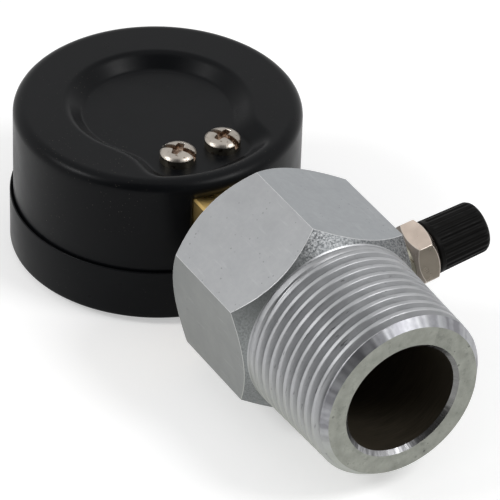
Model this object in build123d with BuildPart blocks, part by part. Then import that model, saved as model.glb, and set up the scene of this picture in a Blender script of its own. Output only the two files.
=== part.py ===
from build123d import *

import os
from math import asin, atan2, cos, degrees, pi, radians, sin, sqrt, tan

# Pressure test gauge assembly, in millimetres. A 2 inch dial gauge screws into the back of a plated
# hexagon adapter with a taper pipe thread, and a tank valve with a dust cap stands on one flat.
#
# The origin is the centre of the threaded end face. +X points out of the thread along its axis,
# and +Z points to the back of the gauge, whose dial faces down (-Z).

# ---------------------------------------------------------------- driving dimensions

# Fits, all on the radius or across one gap
running_clearance = 0.05
sliding_clearance = 0.1
free_clearance = 0.3
face_gap = 0.05

# Adapter: threaded spigot, neck and hexagon, from the end face back
pipe_radius = 16.3
pipe_taper = 1 / 32
thread_pitch = 25.4 / 11.5
thread_crest = 0.8
thread_length = 20.9
end_chamfer_length = 1.95
end_face_radius = 14.85
neck_length = 2.6
hex_across_flats = 34.9
hex_length = 25.3
hex_turn = 7.5
hex_chamfer_angle = 45
rear_face_radius = 17.0

# Adapter: waterway
bore_radius = 10.6
bore_rim_chamfer = 0.42
bore_depth = 34.5
bore_end_cone = 2.0
port_core_radius = 5.6
stem_thread_radius = 6.75
stem_thread_depth = 10.8
stem_lead_in = 1.0

# Gauge case and bezel
gauge_setback = 85.0
case_radius = 26.5
case_wall = 0.8
gauge_height = 29.2
back_height = 10.4
back_edge_radius = 2.15
recess_radius = 14.1
recess_slope = 41
lobe_rim_width = 5.6
lobe_half_width = 10.0
lobe_back_corner = 1.1
recess_soft_radius = 0.9
ring_height = 10.3
ring_wall = 0.6
ring_lip_width = 3.9
ring_edge_radius = 0.6
window_thickness = 2.0
gasket_thickness = 1.0
gasket_width = 1.8

# Screws through the case into the socket
case_screw_setback = 15.0
case_screw_spacing = 9.26
case_screw_head_radius = 3.3
case_screw_head_height = 1.9
case_screw_dome = 0.45
case_screw_radius = 1.6
case_screw_length = 5.0
screw_slot_width = 0.8
screw_slot_depth = 0.9
screw_slot_turn = 12
screw_cross_length = 4.0

# Socket
socket_flats = 14.3
socket_corner = 0.4
socket_shank = 7.0
socket_inner_end = 9.0
socket_waterway_radius = 2.1
tongue_thickness = 3.0
tongue_half_width = 5.6
tongue_reach = 9.0
restrictor_length = 3.5
restrictor_hole_radius = 0.3

# Bourdon tube, wound about the gauge axis
tube_radius = 19.0
tube_height = 6.4
tube_thickness = 1.8
tube_wall = 0.35
tube_sweep = 270
tube_root_depth = 6.0
tip_plug_length = 3.0

# Movement
plate_thickness = 0.8
plate_gap = 2.9
plate_left = 9.0
plate_right = 10.4
plate_top = 5.2
plate_bottom = 14.4
plate_corner = 1.6
pillar_radius = 1.1
pillar_side = 7.4
lower_pillar_drop = 12.4
lower_pillar_left = 4.6
lower_pillar_right = 8.4
pillar_hole_depth = 1.75
arbor_radius = 0.5
arbor_end_length = 0.3
gear_gap = 0.5
gear_module = 0.2
gear_thickness = 0.8
gear_pressure_angle = 20
gear_addendum = 0.18
gear_dedendum = 0.25
pinion_overhang = 0.15
pinion_teeth = 12
sector_teeth_in_circle = 96
sector_teeth = 13
sector_swing = 33.75
sector_rim = 1.5
sector_rib_angle = 9
sector_hub_radius = 1.5
sector_hub_rim = 1.2
tail_length = 5.0
link_length = 6.0
link_thickness = 0.5
link_width = 2.0
link_pin_radius = 0.5
hairspring_turns = 4.5
spiral_points_per_turn = 16
hairspring_inner = 0.95
hairspring_pitch = 0.72
hairspring_strip = 0.12
hairspring_height = 0.6
stud_radius = 0.45
gear_backlash = 0.08
movement_screw_side = 3.6
movement_screw_rise = 3.2
small_screw_radius = 0.6
small_head_radius = 1.3
small_head_height = 0.35
small_slot_width = 0.3

# Dial and pointer
dial_thickness = 0.5
dial_gap = 0.5
dial_hole_radius = 1.8
dial_screw_head_height = 0.5
pointer_thickness = 0.35
pointer_length = 19.5
pointer_tail = 7.0
pointer_root_width = 2.2
pointer_tip_width = 0.5
pointer_lift = 1.35
pointer_hub_radius = 1.5
pointer_hub_height = 1.7
pointer_zero = 45

# Tank valve, measured along its axis from the thread axis
valve_setback = 31.5
valve_thread_radius = 4.9
valve_hex_flats = 11.1
valve_hex_base = 19.6
valve_hex_height = 4.9
valve_hex_turn = 45.6
valve_hex_chamfer_angle = 30
valve_chamfer_start = 0.9
valve_stem_radius = 3.85
valve_stem_length = 8.9
valve_bore_radius = 2.2
valve_inner_gap = 0.6
valve_lead_in = 0.6
valve_tip_chamfer = 0.5

# Valve core, measured down from the tip of the valve stem
core_plug_radius = 2.65
core_plug_length = 3.9
core_plug_depth = 0.8
core_gasket_length = 1.2
core_barrel_radius = 1.9
core_barrel_length = 9.6
core_shoulder = 1.0
core_pin_radius = 0.6
core_pin_depth = 0.4
core_spring_radius = 1.05
core_spring_wire = 0.28
core_spring_turns = 7
core_cup_height = 1.0
core_seal_height = 0.7
core_cavity_radius = 1.5
core_cavity_rise = 1.0
core_collar_height = 0.6

# Dust cap
cap_gap = 0.3
cap_length = 10.9
cap_skirt_radius = 4.99
cap_end_radius = 4.8
cap_edge_radius = 1.05
cap_roof = 1.4
cap_plain_skirt = 0.9
cap_rib_count = 26
cap_rib_depth = 0.22
rib_gap = 0.45

# ---------------------------------------------------------------- derived places

neck_x = -thread_length
hex_front_x = neck_x - neck_length
hex_rear_x = hex_front_x - hex_length
neck_radius = pipe_radius + pipe_taper * thread_length
gauge_x = -gauge_setback

gauge_front_z = back_height - gauge_height
recess_floor_z = socket_flats / 2 + case_wall
lobe_reach = case_radius - lobe_rim_width
lobe_corner_radius = lobe_back_corner + (back_height - recess_floor_z) * tan(radians(recess_slope))
window_z = gauge_front_z + ring_wall + face_gap
gasket_z = window_z + window_thickness
case_rim_z = gasket_z + gasket_thickness
ring_inner_radius = case_radius + running_clearance
ring_radius = ring_inner_radius + ring_wall

stem_thread_end = hex_rear_x + stem_thread_depth
socket_shank_end = gauge_x + case_radius + socket_shank
socket_inner_x = gauge_x + socket_inner_end

# The movement is stacked from the socket's tongue towards the dial, along -Z
lower_plate_z = -socket_flats / 2
lower_plate_face = lower_plate_z - plate_thickness
upper_plate_z = lower_plate_face - plate_gap
upper_plate_face = upper_plate_z - plate_thickness
gear_z = lower_plate_face - gear_gap
gear_face = gear_z - gear_thickness
link_z = gear_face - sliding_clearance
link_face = link_z - link_thickness
hairspring_z = upper_plate_z + free_clearance
dial_z = upper_plate_face - dial_gap
dial_face = dial_z - dial_thickness
pointer_z = dial_face - pointer_lift
arbor_end_z = pointer_z - pointer_thickness - arbor_end_length

hairspring_outer = hairspring_inner + hairspring_pitch * hairspring_turns
pinion_pitch_radius = gear_module * pinion_teeth / 2
sector_pitch_radius = gear_module * sector_teeth_in_circle / 2
gear_centres = pinion_pitch_radius + sector_pitch_radius

# The tip of a tube that opens out moves along this direction, square to the line through both gears
wound = radians(tube_sweep)
tip_travel_direction = Vector(
    wound * sin(wound) + cos(wound) - 1, sin(wound) - wound * cos(wound), 0
).normalized()
gear_line = Vector(-tip_travel_direction.Y, tip_travel_direction.X, 0)
gear_line_angle = degrees(atan2(gear_line.Y, gear_line.X))
gauge_centre = Vector(gauge_x, 0, 0)
sector_place = gear_line * gear_centres
sector_pivot = gauge_centre + sector_place
tail_angle = gear_line_angle + sector_swing / 2
tail_pin = sector_pivot + Vector(tail_length, 0, 0).rotate(Axis.Z, tail_angle)
tip_pin = tail_pin + tip_travel_direction * link_length

# Places on the movement, from the gauge axis: two pillars take the dial's screws, two the plate's
dial_screw_places = [(side * pillar_side, 0) for side in (-1, 1)]
plate_screw_places = [
    (-lower_pillar_left, -lower_pillar_drop),
    (lower_pillar_right, -lower_pillar_drop),
]
pillar_places = dial_screw_places + plate_screw_places
movement_screw_places = [(side * movement_screw_side, movement_screw_rise) for side in (-1, 1)]

# The valve's own line: local x runs outwards along its axis, local y is the radius
valve_direction = Vector(0, cos(radians(hex_turn)), sin(radians(hex_turn)))
valve_origin = Vector(-valve_setback, 0, 0)
valve_axis = Axis(valve_origin, valve_direction)
valve_section = Plane(valve_origin, x_dir=valve_direction, z_dir=(1, 0, 0))
valve_hex_top = valve_hex_base + valve_hex_height
valve_tip = valve_hex_top + valve_stem_length
valve_inner_end = bore_radius + valve_inner_gap
# Where the port's wall meets the bore furthest in
valve_port_start = sqrt(bore_radius**2 - valve_thread_radius**2)
core_plug_top = valve_tip - core_plug_depth
core_plug_base = core_plug_top - core_plug_length
core_seat = core_plug_base - core_gasket_length - face_gap
core_barrel_end = core_plug_base - core_barrel_length
core_cup_end = core_barrel_end - face_gap - core_seal_height - core_cup_height
core_cavity_end = core_plug_base + core_cavity_rise
core_collar = core_cavity_end - face_gap - core_collar_height
core_pin_tip = valve_tip - core_pin_depth
cap_base = valve_hex_top + cap_gap
cap_end = cap_base + cap_length

gauge_axis = Axis((gauge_x, 0, 0), (0, 0, 1))
gauge_section = Plane((gauge_x, 0, 0), x_dir=(1, 0, 0), z_dir=(0, -1, 0))


def gauge_plane(z):
    """A plane square to the gauge axis at height z, with its centre on that axis."""
    return Plane.XY.offset(z).shift_origin((gauge_x, 0, z))


def valve_plane(distance):
    """A plane square to the valve axis at a distance along it, with local x along +X."""
    return Plane(valve_origin + valve_direction * distance, x_dir=(1, 0, 0), z_dir=valve_direction)


def turned(points, section, axis, mode=Mode.ADD):
    """Revolve one closed outline, drawn on a plane through the axis, into the part being built."""
    with BuildSketch(section) as profile:
        with BuildLine():
            Polyline(*points, close=True)
        make_face()
    revolve(profile.sketch, axis=axis, mode=mode)


def finish(builder, name):
    """Label the piece and write it out."""
    builder.part.label = name
    export_step(builder.part, f"parts/{name}.step")


os.makedirs("parts", exist_ok=True)

# ---------------------------------------------------------------- adapter body

hex_corner_radius = hex_across_flats / sqrt(3)
hex_chamfer_slope = tan(radians(hex_chamfer_angle))
groove_width = thread_pitch - thread_crest
groove_depth = groove_width / 2 / tan(radians(30))


def thread_outline():
    """The spigot's upper outline from the neck to the end face: taper crests with vee grooves."""
    points = [(neck_x, neck_radius)]
    groove = neck_x + groove_width
    while groove + groove_width / 2 < -end_chamfer_length:
        for x, cut in (
            (groove - groove_width / 2, 0),
            (groove, groove_depth),
            (groove + groove_width / 2, 0),
        ):
            points.append((x, pipe_radius - pipe_taper * x - cut))
        groove += thread_pitch
    points.append((-end_chamfer_length, pipe_radius + pipe_taper * end_chamfer_length))
    points.append((0, end_face_radius))
    return points


with BuildPart() as hex_body:
    with BuildSketch(Plane.YZ.offset(hex_rear_x)):
        RegularPolygon(hex_across_flats / 2, 6, major_radius=False, rotation=hex_turn + 30)
    extrude(amount=hex_length)
    # Both ends are turned to cones, which leave an arc across each flat
    front_cone = (hex_corner_radius - neck_radius) * hex_chamfer_slope
    rear_cone = (hex_corner_radius - rear_face_radius) * hex_chamfer_slope
    turned(
        [
            (hex_rear_x, 0),
            (hex_rear_x, rear_face_radius),
            (hex_rear_x + rear_cone, hex_corner_radius),
            (hex_front_x - front_cone, hex_corner_radius),
            (hex_front_x, neck_radius),
            (hex_front_x, 0),
        ],
        Plane.XY,
        Axis.X,
        mode=Mode.INTERSECT,
    )
    turned(
        [(hex_front_x, 0), (hex_front_x, neck_radius), *thread_outline(), (0, 0)],
        Plane.XY,
        Axis.X,
    )
    turned(
        [
            (0, 0),
            (0, bore_radius + bore_rim_chamfer),
            (-bore_rim_chamfer, bore_radius),
            (-bore_depth, bore_radius),
            (-bore_depth - bore_end_cone, port_core_radius),
            (stem_thread_end, port_core_radius),
            (stem_thread_end, stem_thread_radius),
            (hex_rear_x + stem_lead_in, stem_thread_radius),
            (hex_rear_x, stem_thread_radius + stem_lead_in),
            (hex_rear_x, 0),
        ],
        Plane.XY,
        Axis.X,
        mode=Mode.SUBTRACT,
    )
    with BuildSketch(valve_plane(valve_port_start)):
        Circle(valve_thread_radius)
    extrude(amount=hex_across_flats, mode=Mode.SUBTRACT)
finish(hex_body, "hex_body")

# ---------------------------------------------------------------- gauge socket

with BuildPart() as socket:
    with BuildSketch(Plane.YZ.offset(socket_inner_x)):
        Rectangle(socket_flats, socket_flats)
    extrude(amount=socket_shank_end - socket_inner_x)
    chamfer(socket.edges().filter_by(Axis.X), socket_corner)
    # Threaded stem, ending in the adapter's port
    turned(
        [
            (socket_shank_end, 0),
            (socket_shank_end, stem_thread_radius),
            (stem_thread_end - stem_lead_in, stem_thread_radius),
            (stem_thread_end, stem_thread_radius - stem_lead_in),
            (stem_thread_end, 0),
        ],
        Plane.XY,
        Axis.X,
    )
    # Flat tongue that carries the movement, on the dial side
    with BuildSketch(gauge_plane(-socket_flats / 2)):
        with Locations(((socket_inner_end - tongue_reach) / 2, 0)):
            Rectangle(socket_inner_end + tongue_reach, 2 * tongue_half_width)
    extrude(amount=tongue_thickness)
    with BuildSketch(Plane.YZ.offset(gauge_x + tube_radius)):
        Circle(socket_waterway_radius)
    extrude(amount=stem_thread_end - gauge_x - tube_radius, mode=Mode.SUBTRACT)
    # Curved slot for the root of the tube
    with BuildSketch(gauge_plane(-tube_height / 2)):
        Circle(tube_radius + tube_thickness / 2)
        Circle(tube_radius - tube_thickness / 2, mode=Mode.SUBTRACT)
        slot_depth = tube_root_depth + sliding_clearance
        with Locations((tube_radius, (socket_flats - slot_depth) / 2)):
            Rectangle(socket_flats, slot_depth, mode=Mode.INTERSECT)
    extrude(amount=tube_height, mode=Mode.SUBTRACT)
    with BuildSketch(gauge_plane(socket_flats / 2)):
        with Locations((case_screw_setback, 0)):
            with GridLocations(0, case_screw_spacing, 1, 2):
                Circle(case_screw_radius)
    extrude(amount=-(case_screw_length - case_wall), mode=Mode.SUBTRACT)
    with BuildSketch(gauge_plane(-socket_flats / 2)):
        with Locations(*movement_screw_places):
            Circle(small_screw_radius)
    extrude(amount=tongue_thickness, mode=Mode.SUBTRACT)
finish(socket, "socket")

with BuildPart() as restrictor_screw:
    with BuildSketch(Plane.YZ.offset(stem_thread_end - restrictor_length)):
        Circle(socket_waterway_radius)
        Circle(restrictor_hole_radius, mode=Mode.SUBTRACT)
    extrude(amount=restrictor_length)
    with BuildSketch(Plane.YZ.offset(stem_thread_end)):
        Rectangle(2 * socket_waterway_radius, screw_slot_width)
    extrude(amount=-screw_slot_depth, mode=Mode.SUBTRACT)
finish(restrictor_screw, "restrictor_screw")

# ---------------------------------------------------------------- gauge case


def recess(floor_z, growth):
    """The hollow pressed into the back: a disc with a lobe to the socket, widening backwards."""
    with BuildPart(mode=Mode.PRIVATE) as hollow:
        with BuildSketch(gauge_plane(floor_z)) as outline:
            with Locations(((lobe_reach + growth) / 2, 0)):
                Rectangle(lobe_reach + growth, 2 * (lobe_half_width + growth))
            Circle(lobe_reach + growth, mode=Mode.INTERSECT)
            Circle(recess_radius + growth)
            fillet(outline.vertices(), lobe_corner_radius)
        extrude(amount=back_height - floor_z + case_wall, taper=-recess_slope)
    return hollow.part


def case_inside():
    """The space inside the case, which follows its outside at the wall's thickness."""
    slope = radians(recess_slope)
    wall_growth = case_wall * (1 / cos(slope) - tan(slope))
    with BuildPart(mode=Mode.PRIVATE) as inside:
        with BuildSketch(gauge_plane(case_rim_z)):
            Circle(case_radius - case_wall)
        extrude(amount=back_height - case_wall - case_rim_z)
        fillet(inside.edges().group_by(Axis.Z)[-1], back_edge_radius - case_wall)
        add(recess(recess_floor_z - case_wall, wall_growth), mode=Mode.SUBTRACT)
    return inside.part


hollow_back = recess(recess_floor_z, 0)
case_space = case_inside()

with BuildPart() as case:
    with BuildSketch(gauge_plane(case_rim_z)):
        Circle(case_radius)
    extrude(amount=back_height - case_rim_z)
    fillet(case.edges().group_by(Axis.Z)[-1], back_edge_radius)
    add(hollow_back, mode=Mode.SUBTRACT)
    back_face = case.faces().filter_by(Plane.XY).sort_by(Axis.Z)[-1]
    fillet(back_face.inner_wires()[0].edges(), recess_soft_radius)
    recess_floor = case.faces().filter_by(Plane.XY).sort_by(Axis.Z)[-2]
    fillet(recess_floor.edges(), recess_soft_radius)
    add(case_space, mode=Mode.SUBTRACT)
    # Slot that drops over the socket from behind
    with BuildSketch(gauge_plane(case_rim_z)):
        with Locations((case_radius, 0)):
            Rectangle(2 * case_wall + back_edge_radius * 2, socket_flats + 2 * sliding_clearance)
    extrude(amount=socket_flats / 2 + sliding_clearance - case_rim_z, mode=Mode.SUBTRACT)
    with BuildSketch(gauge_plane(back_height)):
        with Locations((case_screw_setback, 0)):
            with GridLocations(0, case_screw_spacing, 1, 2):
                Circle(case_screw_radius + sliding_clearance)
    extrude(amount=-(back_height - recess_floor_z + 2 * case_wall), mode=Mode.SUBTRACT)
finish(case, "case")

with BuildPart() as case_screws:
    for side in (-1, 1):
        seat = Vector(gauge_x + case_screw_setback, side * case_screw_spacing / 2, recess_floor_z)
        head_top = case_screw_head_height + case_screw_dome
        with BuildSketch(Plane(seat, x_dir=(1, 0, 0), z_dir=(0, -1, 0))):
            with BuildLine():
                Polyline(
                    (0, head_top),
                    (0, case_wall - case_screw_length),
                    (case_screw_radius, case_wall - case_screw_length),
                    (case_screw_radius, 0),
                    (case_screw_head_radius, 0),
                    (case_screw_head_radius, case_screw_head_height),
                )
                TangentArc(
                    (0, head_top), (case_screw_head_radius, case_screw_head_height), tangent=(1, 0)
                )
            make_face()
        revolve(axis=Axis(seat, (0, 0, 1)))
    # Slot right across each head, and a shorter cross recess
    with BuildSketch(gauge_plane(recess_floor_z + head_top)):
        with Locations((case_screw_setback, 0)):
            with GridLocations(0, case_screw_spacing, 1, 2):
                Rectangle(2 * case_screw_head_radius, screw_slot_width, rotation=screw_slot_turn)
                Rectangle(screw_slot_width, screw_cross_length, rotation=screw_slot_turn)
    extrude(amount=-screw_slot_depth, mode=Mode.SUBTRACT)
finish(case_screws, "case_screws")

# ---------------------------------------------------------------- bezel, window and gasket

with BuildPart() as bezel_ring:
    lip_radius = ring_radius - ring_lip_width
    turned(
        [
            (lip_radius, gauge_front_z),
            (ring_radius, gauge_front_z),
            (ring_radius, gauge_front_z + ring_height),
            (ring_inner_radius, gauge_front_z + ring_height),
            (ring_inner_radius, gauge_front_z + ring_wall),
            (lip_radius, gauge_front_z + ring_wall),
        ],
        gauge_section,
        gauge_axis,
    )
    fillet(
        bezel_ring.edges().filter_by(GeomType.CIRCLE).group_by(Axis.Z)[0].sort_by(SortBy.RADIUS)[-1],
        ring_edge_radius,
    )
finish(bezel_ring, "bezel_ring")

with BuildPart() as window:
    with BuildSketch(gauge_plane(window_z)):
        Circle(ring_inner_radius - free_clearance)
    extrude(amount=window_thickness)
finish(window, "window")

with BuildPart() as window_gasket:
    with BuildSketch(gauge_plane(gasket_z)):
        Circle(case_radius)
        Circle(case_radius - gasket_width, mode=Mode.SUBTRACT)
    extrude(amount=gasket_thickness)
finish(window_gasket, "window_gasket")

# ---------------------------------------------------------------- Bourdon tube and its tip

tube_start = degrees(asin((socket_flats / 2 - tube_root_depth) / tube_radius))

with BuildPart() as bourdon_tube:
    with BuildLine() as tube_line:
        CenterArc((gauge_x, 0, 0), tube_radius, tube_start, tube_sweep - tube_start)
    with BuildSketch(Plane(tube_line.line @ 0, x_dir=(0, 0, 1), z_dir=tube_line.line % 0)):
        SlotOverall(tube_height, tube_thickness)
        SlotOverall(tube_height - 2 * tube_wall, tube_thickness - 2 * tube_wall, mode=Mode.SUBTRACT)
    sweep(path=tube_line.line)
finish(bourdon_tube, "bourdon_tube")

# Plug soldered over the end of the tube, with an ear that carries the link's pin
tube_end = gauge_centre + Vector(tube_radius, 0, 0).rotate(Axis.Z, tube_sweep)
tube_end_direction = Vector(0, 1, 0).rotate(Axis.Z, tube_sweep)
tip_plane = Plane(tube_end, x_dir=(0, 0, 1), z_dir=tube_end_direction)

with BuildPart() as tube_tip:
    with BuildSketch(tip_plane.offset(face_gap)):
        RectangleRounded(
            tube_height + 2 * tube_wall, tube_thickness + 2 * tube_wall, tube_thickness / 3
        )
    extrude(amount=tip_plug_length)
    ear_end = tube_end + tube_end_direction * (face_gap + tip_plug_length / 2)
    with BuildSketch(Plane.XY.offset(link_face)):
        with Locations((tip_pin.X, tip_pin.Y)):
            Circle(link_pin_radius)
    extrude(amount=gear_z - link_face)
    with BuildSketch(Plane.XY.offset(gear_z)):
        with Locations((tip_pin.X, tip_pin.Y)):
            Circle(link_width / 2)
        with Locations((ear_end.X, ear_end.Y)):
            Circle(link_width / 2)
        make_hull()
    extrude(amount=link_thickness)
    with BuildSketch(Plane.XY.offset(gear_z)):
        with Locations((ear_end.X, ear_end.Y)):
            Circle(link_width / 2)
    extrude(amount=-tube_height / 2 - gear_z)
finish(tube_tip, "tube_tip")

# ---------------------------------------------------------------- movement: plates and pillars


def movement_plate(z):
    """The outline shared by both movement plates, as a sketch on the plate's back face."""
    with BuildSketch(gauge_plane(z)) as outline:
        with Locations(((plate_right - plate_left) / 2, (plate_top - plate_bottom) / 2)):
            RectangleRounded(plate_left + plate_right, plate_top + plate_bottom, plate_corner)
    return outline.sketch


with BuildPart() as lower_plate:
    extrude(movement_plate(lower_plate_z), amount=-plate_thickness)
    with BuildSketch(gauge_plane(lower_plate_face)):
        with Locations((0, 0), (sector_place.X, sector_place.Y)):
            Circle(arbor_radius + running_clearance)
        with Locations(*movement_screw_places):
            Circle(small_screw_radius)
    extrude(amount=plate_thickness, mode=Mode.SUBTRACT)
finish(lower_plate, "lower_plate")

with BuildPart() as upper_plate:
    extrude(movement_plate(upper_plate_z), amount=-plate_thickness)
    with BuildSketch(gauge_plane(upper_plate_face)):
        with Locations((0, 0), (sector_place.X, sector_place.Y)):
            Circle(arbor_radius + running_clearance)
        with Locations(*pillar_places):
            Circle(small_screw_radius)
        # Clears the screwdriver for the screws that hold the movement to the socket
        with Locations(*movement_screw_places):
            Circle(small_head_radius + free_clearance)
    extrude(amount=plate_thickness, mode=Mode.SUBTRACT)
    # Stud that holds the outer end of the hairspring
    with BuildSketch(gauge_plane(upper_plate_z)):
        with Locations((-hairspring_outer, -stud_radius)):
            Circle(stud_radius)
    extrude(amount=hairspring_z + hairspring_height - upper_plate_z)
finish(upper_plate, "upper_plate")

with BuildPart() as pillars:
    with BuildSketch(gauge_plane(lower_plate_face)):
        with Locations(*pillar_places):
            Circle(pillar_radius)
    extrude(amount=-plate_gap)
    with BuildSketch(gauge_plane(upper_plate_z)):
        with Locations(*pillar_places):
            Circle(small_screw_radius)
    extrude(amount=pillar_hole_depth, mode=Mode.SUBTRACT)
finish(pillars, "pillars")


def cheese_screws(places, seat_z, head_height, length):
    """Small cheese-head screws that point to the back, seated at one height under their heads."""
    with BuildPart(mode=Mode.PRIVATE) as screws:
        with BuildSketch(gauge_plane(seat_z)):
            with Locations(*places):
                Circle(small_head_radius)
        extrude(amount=-head_height)
        with BuildSketch(gauge_plane(seat_z)):
            with Locations(*places):
                Circle(small_screw_radius)
        extrude(amount=length)
        with BuildSketch(gauge_plane(seat_z - head_height)):
            with Locations(*places):
                Rectangle(2 * small_head_radius, small_slot_width)
        extrude(amount=head_height / 2, mode=Mode.SUBTRACT)
    return screws


plate_screws = cheese_screws(
    plate_screw_places, upper_plate_face, small_head_height, plate_thickness + plate_gap / 2
)
finish(plate_screws, "plate_screws")
movement_screws = cheese_screws(
    movement_screw_places, lower_plate_face, small_head_height, plate_thickness + tongue_thickness
)
finish(movement_screws, "movement_screws")
dial_screws = cheese_screws(
    dial_screw_places,
    dial_face,
    dial_screw_head_height,
    dial_thickness + dial_gap + plate_thickness + plate_gap / 2,
)
finish(dial_screws, "dial_screws")

# ---------------------------------------------------------------- movement: gears, link and spring


def tooth(pitch_radius):
    """The corners of one straight-flanked tooth along local +X, sunk a little into the gear's rim."""
    flank = tan(radians(gear_pressure_angle))
    foot = gear_dedendum + face_gap
    tip_half = tooth_thickness / 2 - gear_addendum * flank
    foot_half = tooth_thickness / 2 + foot * flank
    tip, root = pitch_radius + gear_addendum, pitch_radius - foot
    return [(root, -foot_half), (tip, -tip_half), (tip, tip_half), (root, foot_half)]


tooth_thickness = pi * gear_module / 2 - gear_backlash
pinion_root = pinion_pitch_radius - gear_dedendum
sector_root = sector_pitch_radius - gear_dedendum
tooth_turn = 360 / sector_teeth_in_circle

with BuildPart() as pinion:
    with BuildSketch(gauge_plane(gear_z + pinion_overhang)):
        Circle(pinion_root)
        with PolarLocations(0, pinion_teeth, start_angle=gear_line_angle):
            Polygon(*tooth(pinion_pitch_radius), align=None)
    extrude(amount=-(gear_thickness + 2 * pinion_overhang))
    with BuildSketch(gauge_plane(lower_plate_z - face_gap)):
        Circle(arbor_radius)
    extrude(amount=arbor_end_z - lower_plate_z + face_gap)
    with BuildSketch(gauge_plane(hairspring_z)):
        Circle(hairspring_inner - free_clearance)
    extrude(amount=hairspring_height)
finish(pinion, "pinion")

# At rest the sector stands at one end of its swing, half the swing past the line through both gears
sector_rest = gear_line_angle + 180 + sector_swing / 2
sector_plane = Plane.XY.offset(gear_face).shift_origin((sector_pivot.X, sector_pivot.Y, gear_face))

sector_half = tooth_turn * sector_teeth / 2


def wedge(radius, half_angle):
    """A slice of a disc about the sector's pivot, as a sketch on the sector's dial side."""
    with BuildSketch(sector_plane) as slice_outline:
        with BuildLine():
            arc = CenterArc((0, 0), radius, sector_rest - half_angle, 2 * half_angle)
            Line(arc @ 1, (0, 0))
            Line((0, 0), arc @ 0)
        make_face()
    return slice_outline.sketch


sector_blank = wedge(sector_root, sector_half)
sector_window = wedge(sector_root - sector_rim, sector_half - sector_rib_angle)

with BuildPart() as sector_gear:
    extrude(sector_blank, amount=gear_thickness)
    extrude(sector_window, amount=gear_thickness, mode=Mode.SUBTRACT)
    with BuildSketch(sector_plane):
        Circle(sector_hub_radius + sector_hub_rim)
        with PolarLocations(
            0,
            sector_teeth,
            start_angle=sector_rest - sector_half + tooth_turn / 2,
            angular_range=tooth_turn * sector_teeth,
        ):
            Polygon(*tooth(sector_pitch_radius), align=None)
    extrude(amount=gear_thickness)
    with BuildSketch(sector_plane):
        Circle(link_width / 2)
        with Locations((tail_pin.X - sector_pivot.X, tail_pin.Y - sector_pivot.Y)):
            Circle(link_width / 2)
        make_hull()
    extrude(amount=gear_thickness)
    with BuildSketch(Plane.XY.offset(lower_plate_z - face_gap)):
        with Locations((sector_pivot.X, sector_pivot.Y)):
            Circle(arbor_radius)
    extrude(amount=upper_plate_face - lower_plate_z + 2 * face_gap)
    with BuildSketch(Plane.XY.offset(gear_face)):
        with Locations((tail_pin.X, tail_pin.Y)):
            Circle(link_pin_radius)
    extrude(amount=link_face - gear_face)
finish(sector_gear, "sector_gear")

with BuildPart() as link:
    with BuildSketch(Plane.XY.offset(link_z)):
        for end in (tail_pin, tip_pin):
            with Locations((end.X, end.Y)):
                Circle(link_width / 2)
        make_hull()
        with Locations((tail_pin.X, tail_pin.Y)):
            Circle(link_pin_radius + running_clearance, mode=Mode.SUBTRACT)
        with Locations((tip_pin.X, tip_pin.Y)):
            Circle(link_pin_radius + free_clearance, mode=Mode.SUBTRACT)
    extrude(amount=-link_thickness)
finish(link, "link")

spiral_points = []
for step in range(int(hairspring_turns * spiral_points_per_turn) + 1):
    turn = step / spiral_points_per_turn
    spoke = Vector(hairspring_inner + hairspring_pitch * turn, 0, hairspring_z)
    spiral_points.append(gauge_centre + spoke.rotate(Axis.Z, 360 * turn))

with BuildPart() as hairspring:
    with BuildLine() as spiral:
        Spline(*spiral_points)
    with BuildSketch(Plane(spiral.line @ 0, x_dir=(0, 0, 1), z_dir=spiral.line % 0)):
        with Locations((hairspring_height / 2, 0)):
            Rectangle(hairspring_height, hairspring_strip)
    sweep(path=spiral.line)
finish(hairspring, "hairspring")

# ---------------------------------------------------------------- dial and pointer

with BuildPart() as dial_plate:
    with BuildSketch(gauge_plane(dial_face)):
        Circle(case_radius - case_wall - free_clearance)
        Circle(dial_hole_radius, mode=Mode.SUBTRACT)
        with Locations(*dial_screw_places):
            Circle(small_screw_radius, mode=Mode.SUBTRACT)
    extrude(amount=dial_thickness)
finish(dial_plate, "dial_plate")

with BuildPart() as pointer:
    blade_direction = Vector(1, 0, 0).rotate(Axis.Z, pointer_zero)
    with BuildSketch(Plane((gauge_x, 0, pointer_z), x_dir=blade_direction, z_dir=(0, 0, 1))):
        with BuildLine():
            Polyline(
                (-pointer_tail, -pointer_root_width),
                (0, -pointer_root_width / 2),
                (pointer_length, -pointer_tip_width / 2),
                (pointer_length, pointer_tip_width / 2),
                (0, pointer_root_width / 2),
                (-pointer_tail, pointer_root_width),
                close=True,
            )
        make_face()
    extrude(amount=-pointer_thickness)
    with BuildSketch(gauge_plane(arbor_end_z)):
        Circle(pointer_hub_radius)
    extrude(amount=pointer_hub_height)
    with BuildSketch(gauge_plane(arbor_end_z)):
        Circle(arbor_radius)
    extrude(amount=pointer_hub_height, mode=Mode.SUBTRACT)
finish(pointer, "pointer")

# ---------------------------------------------------------------- tank valve

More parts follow.
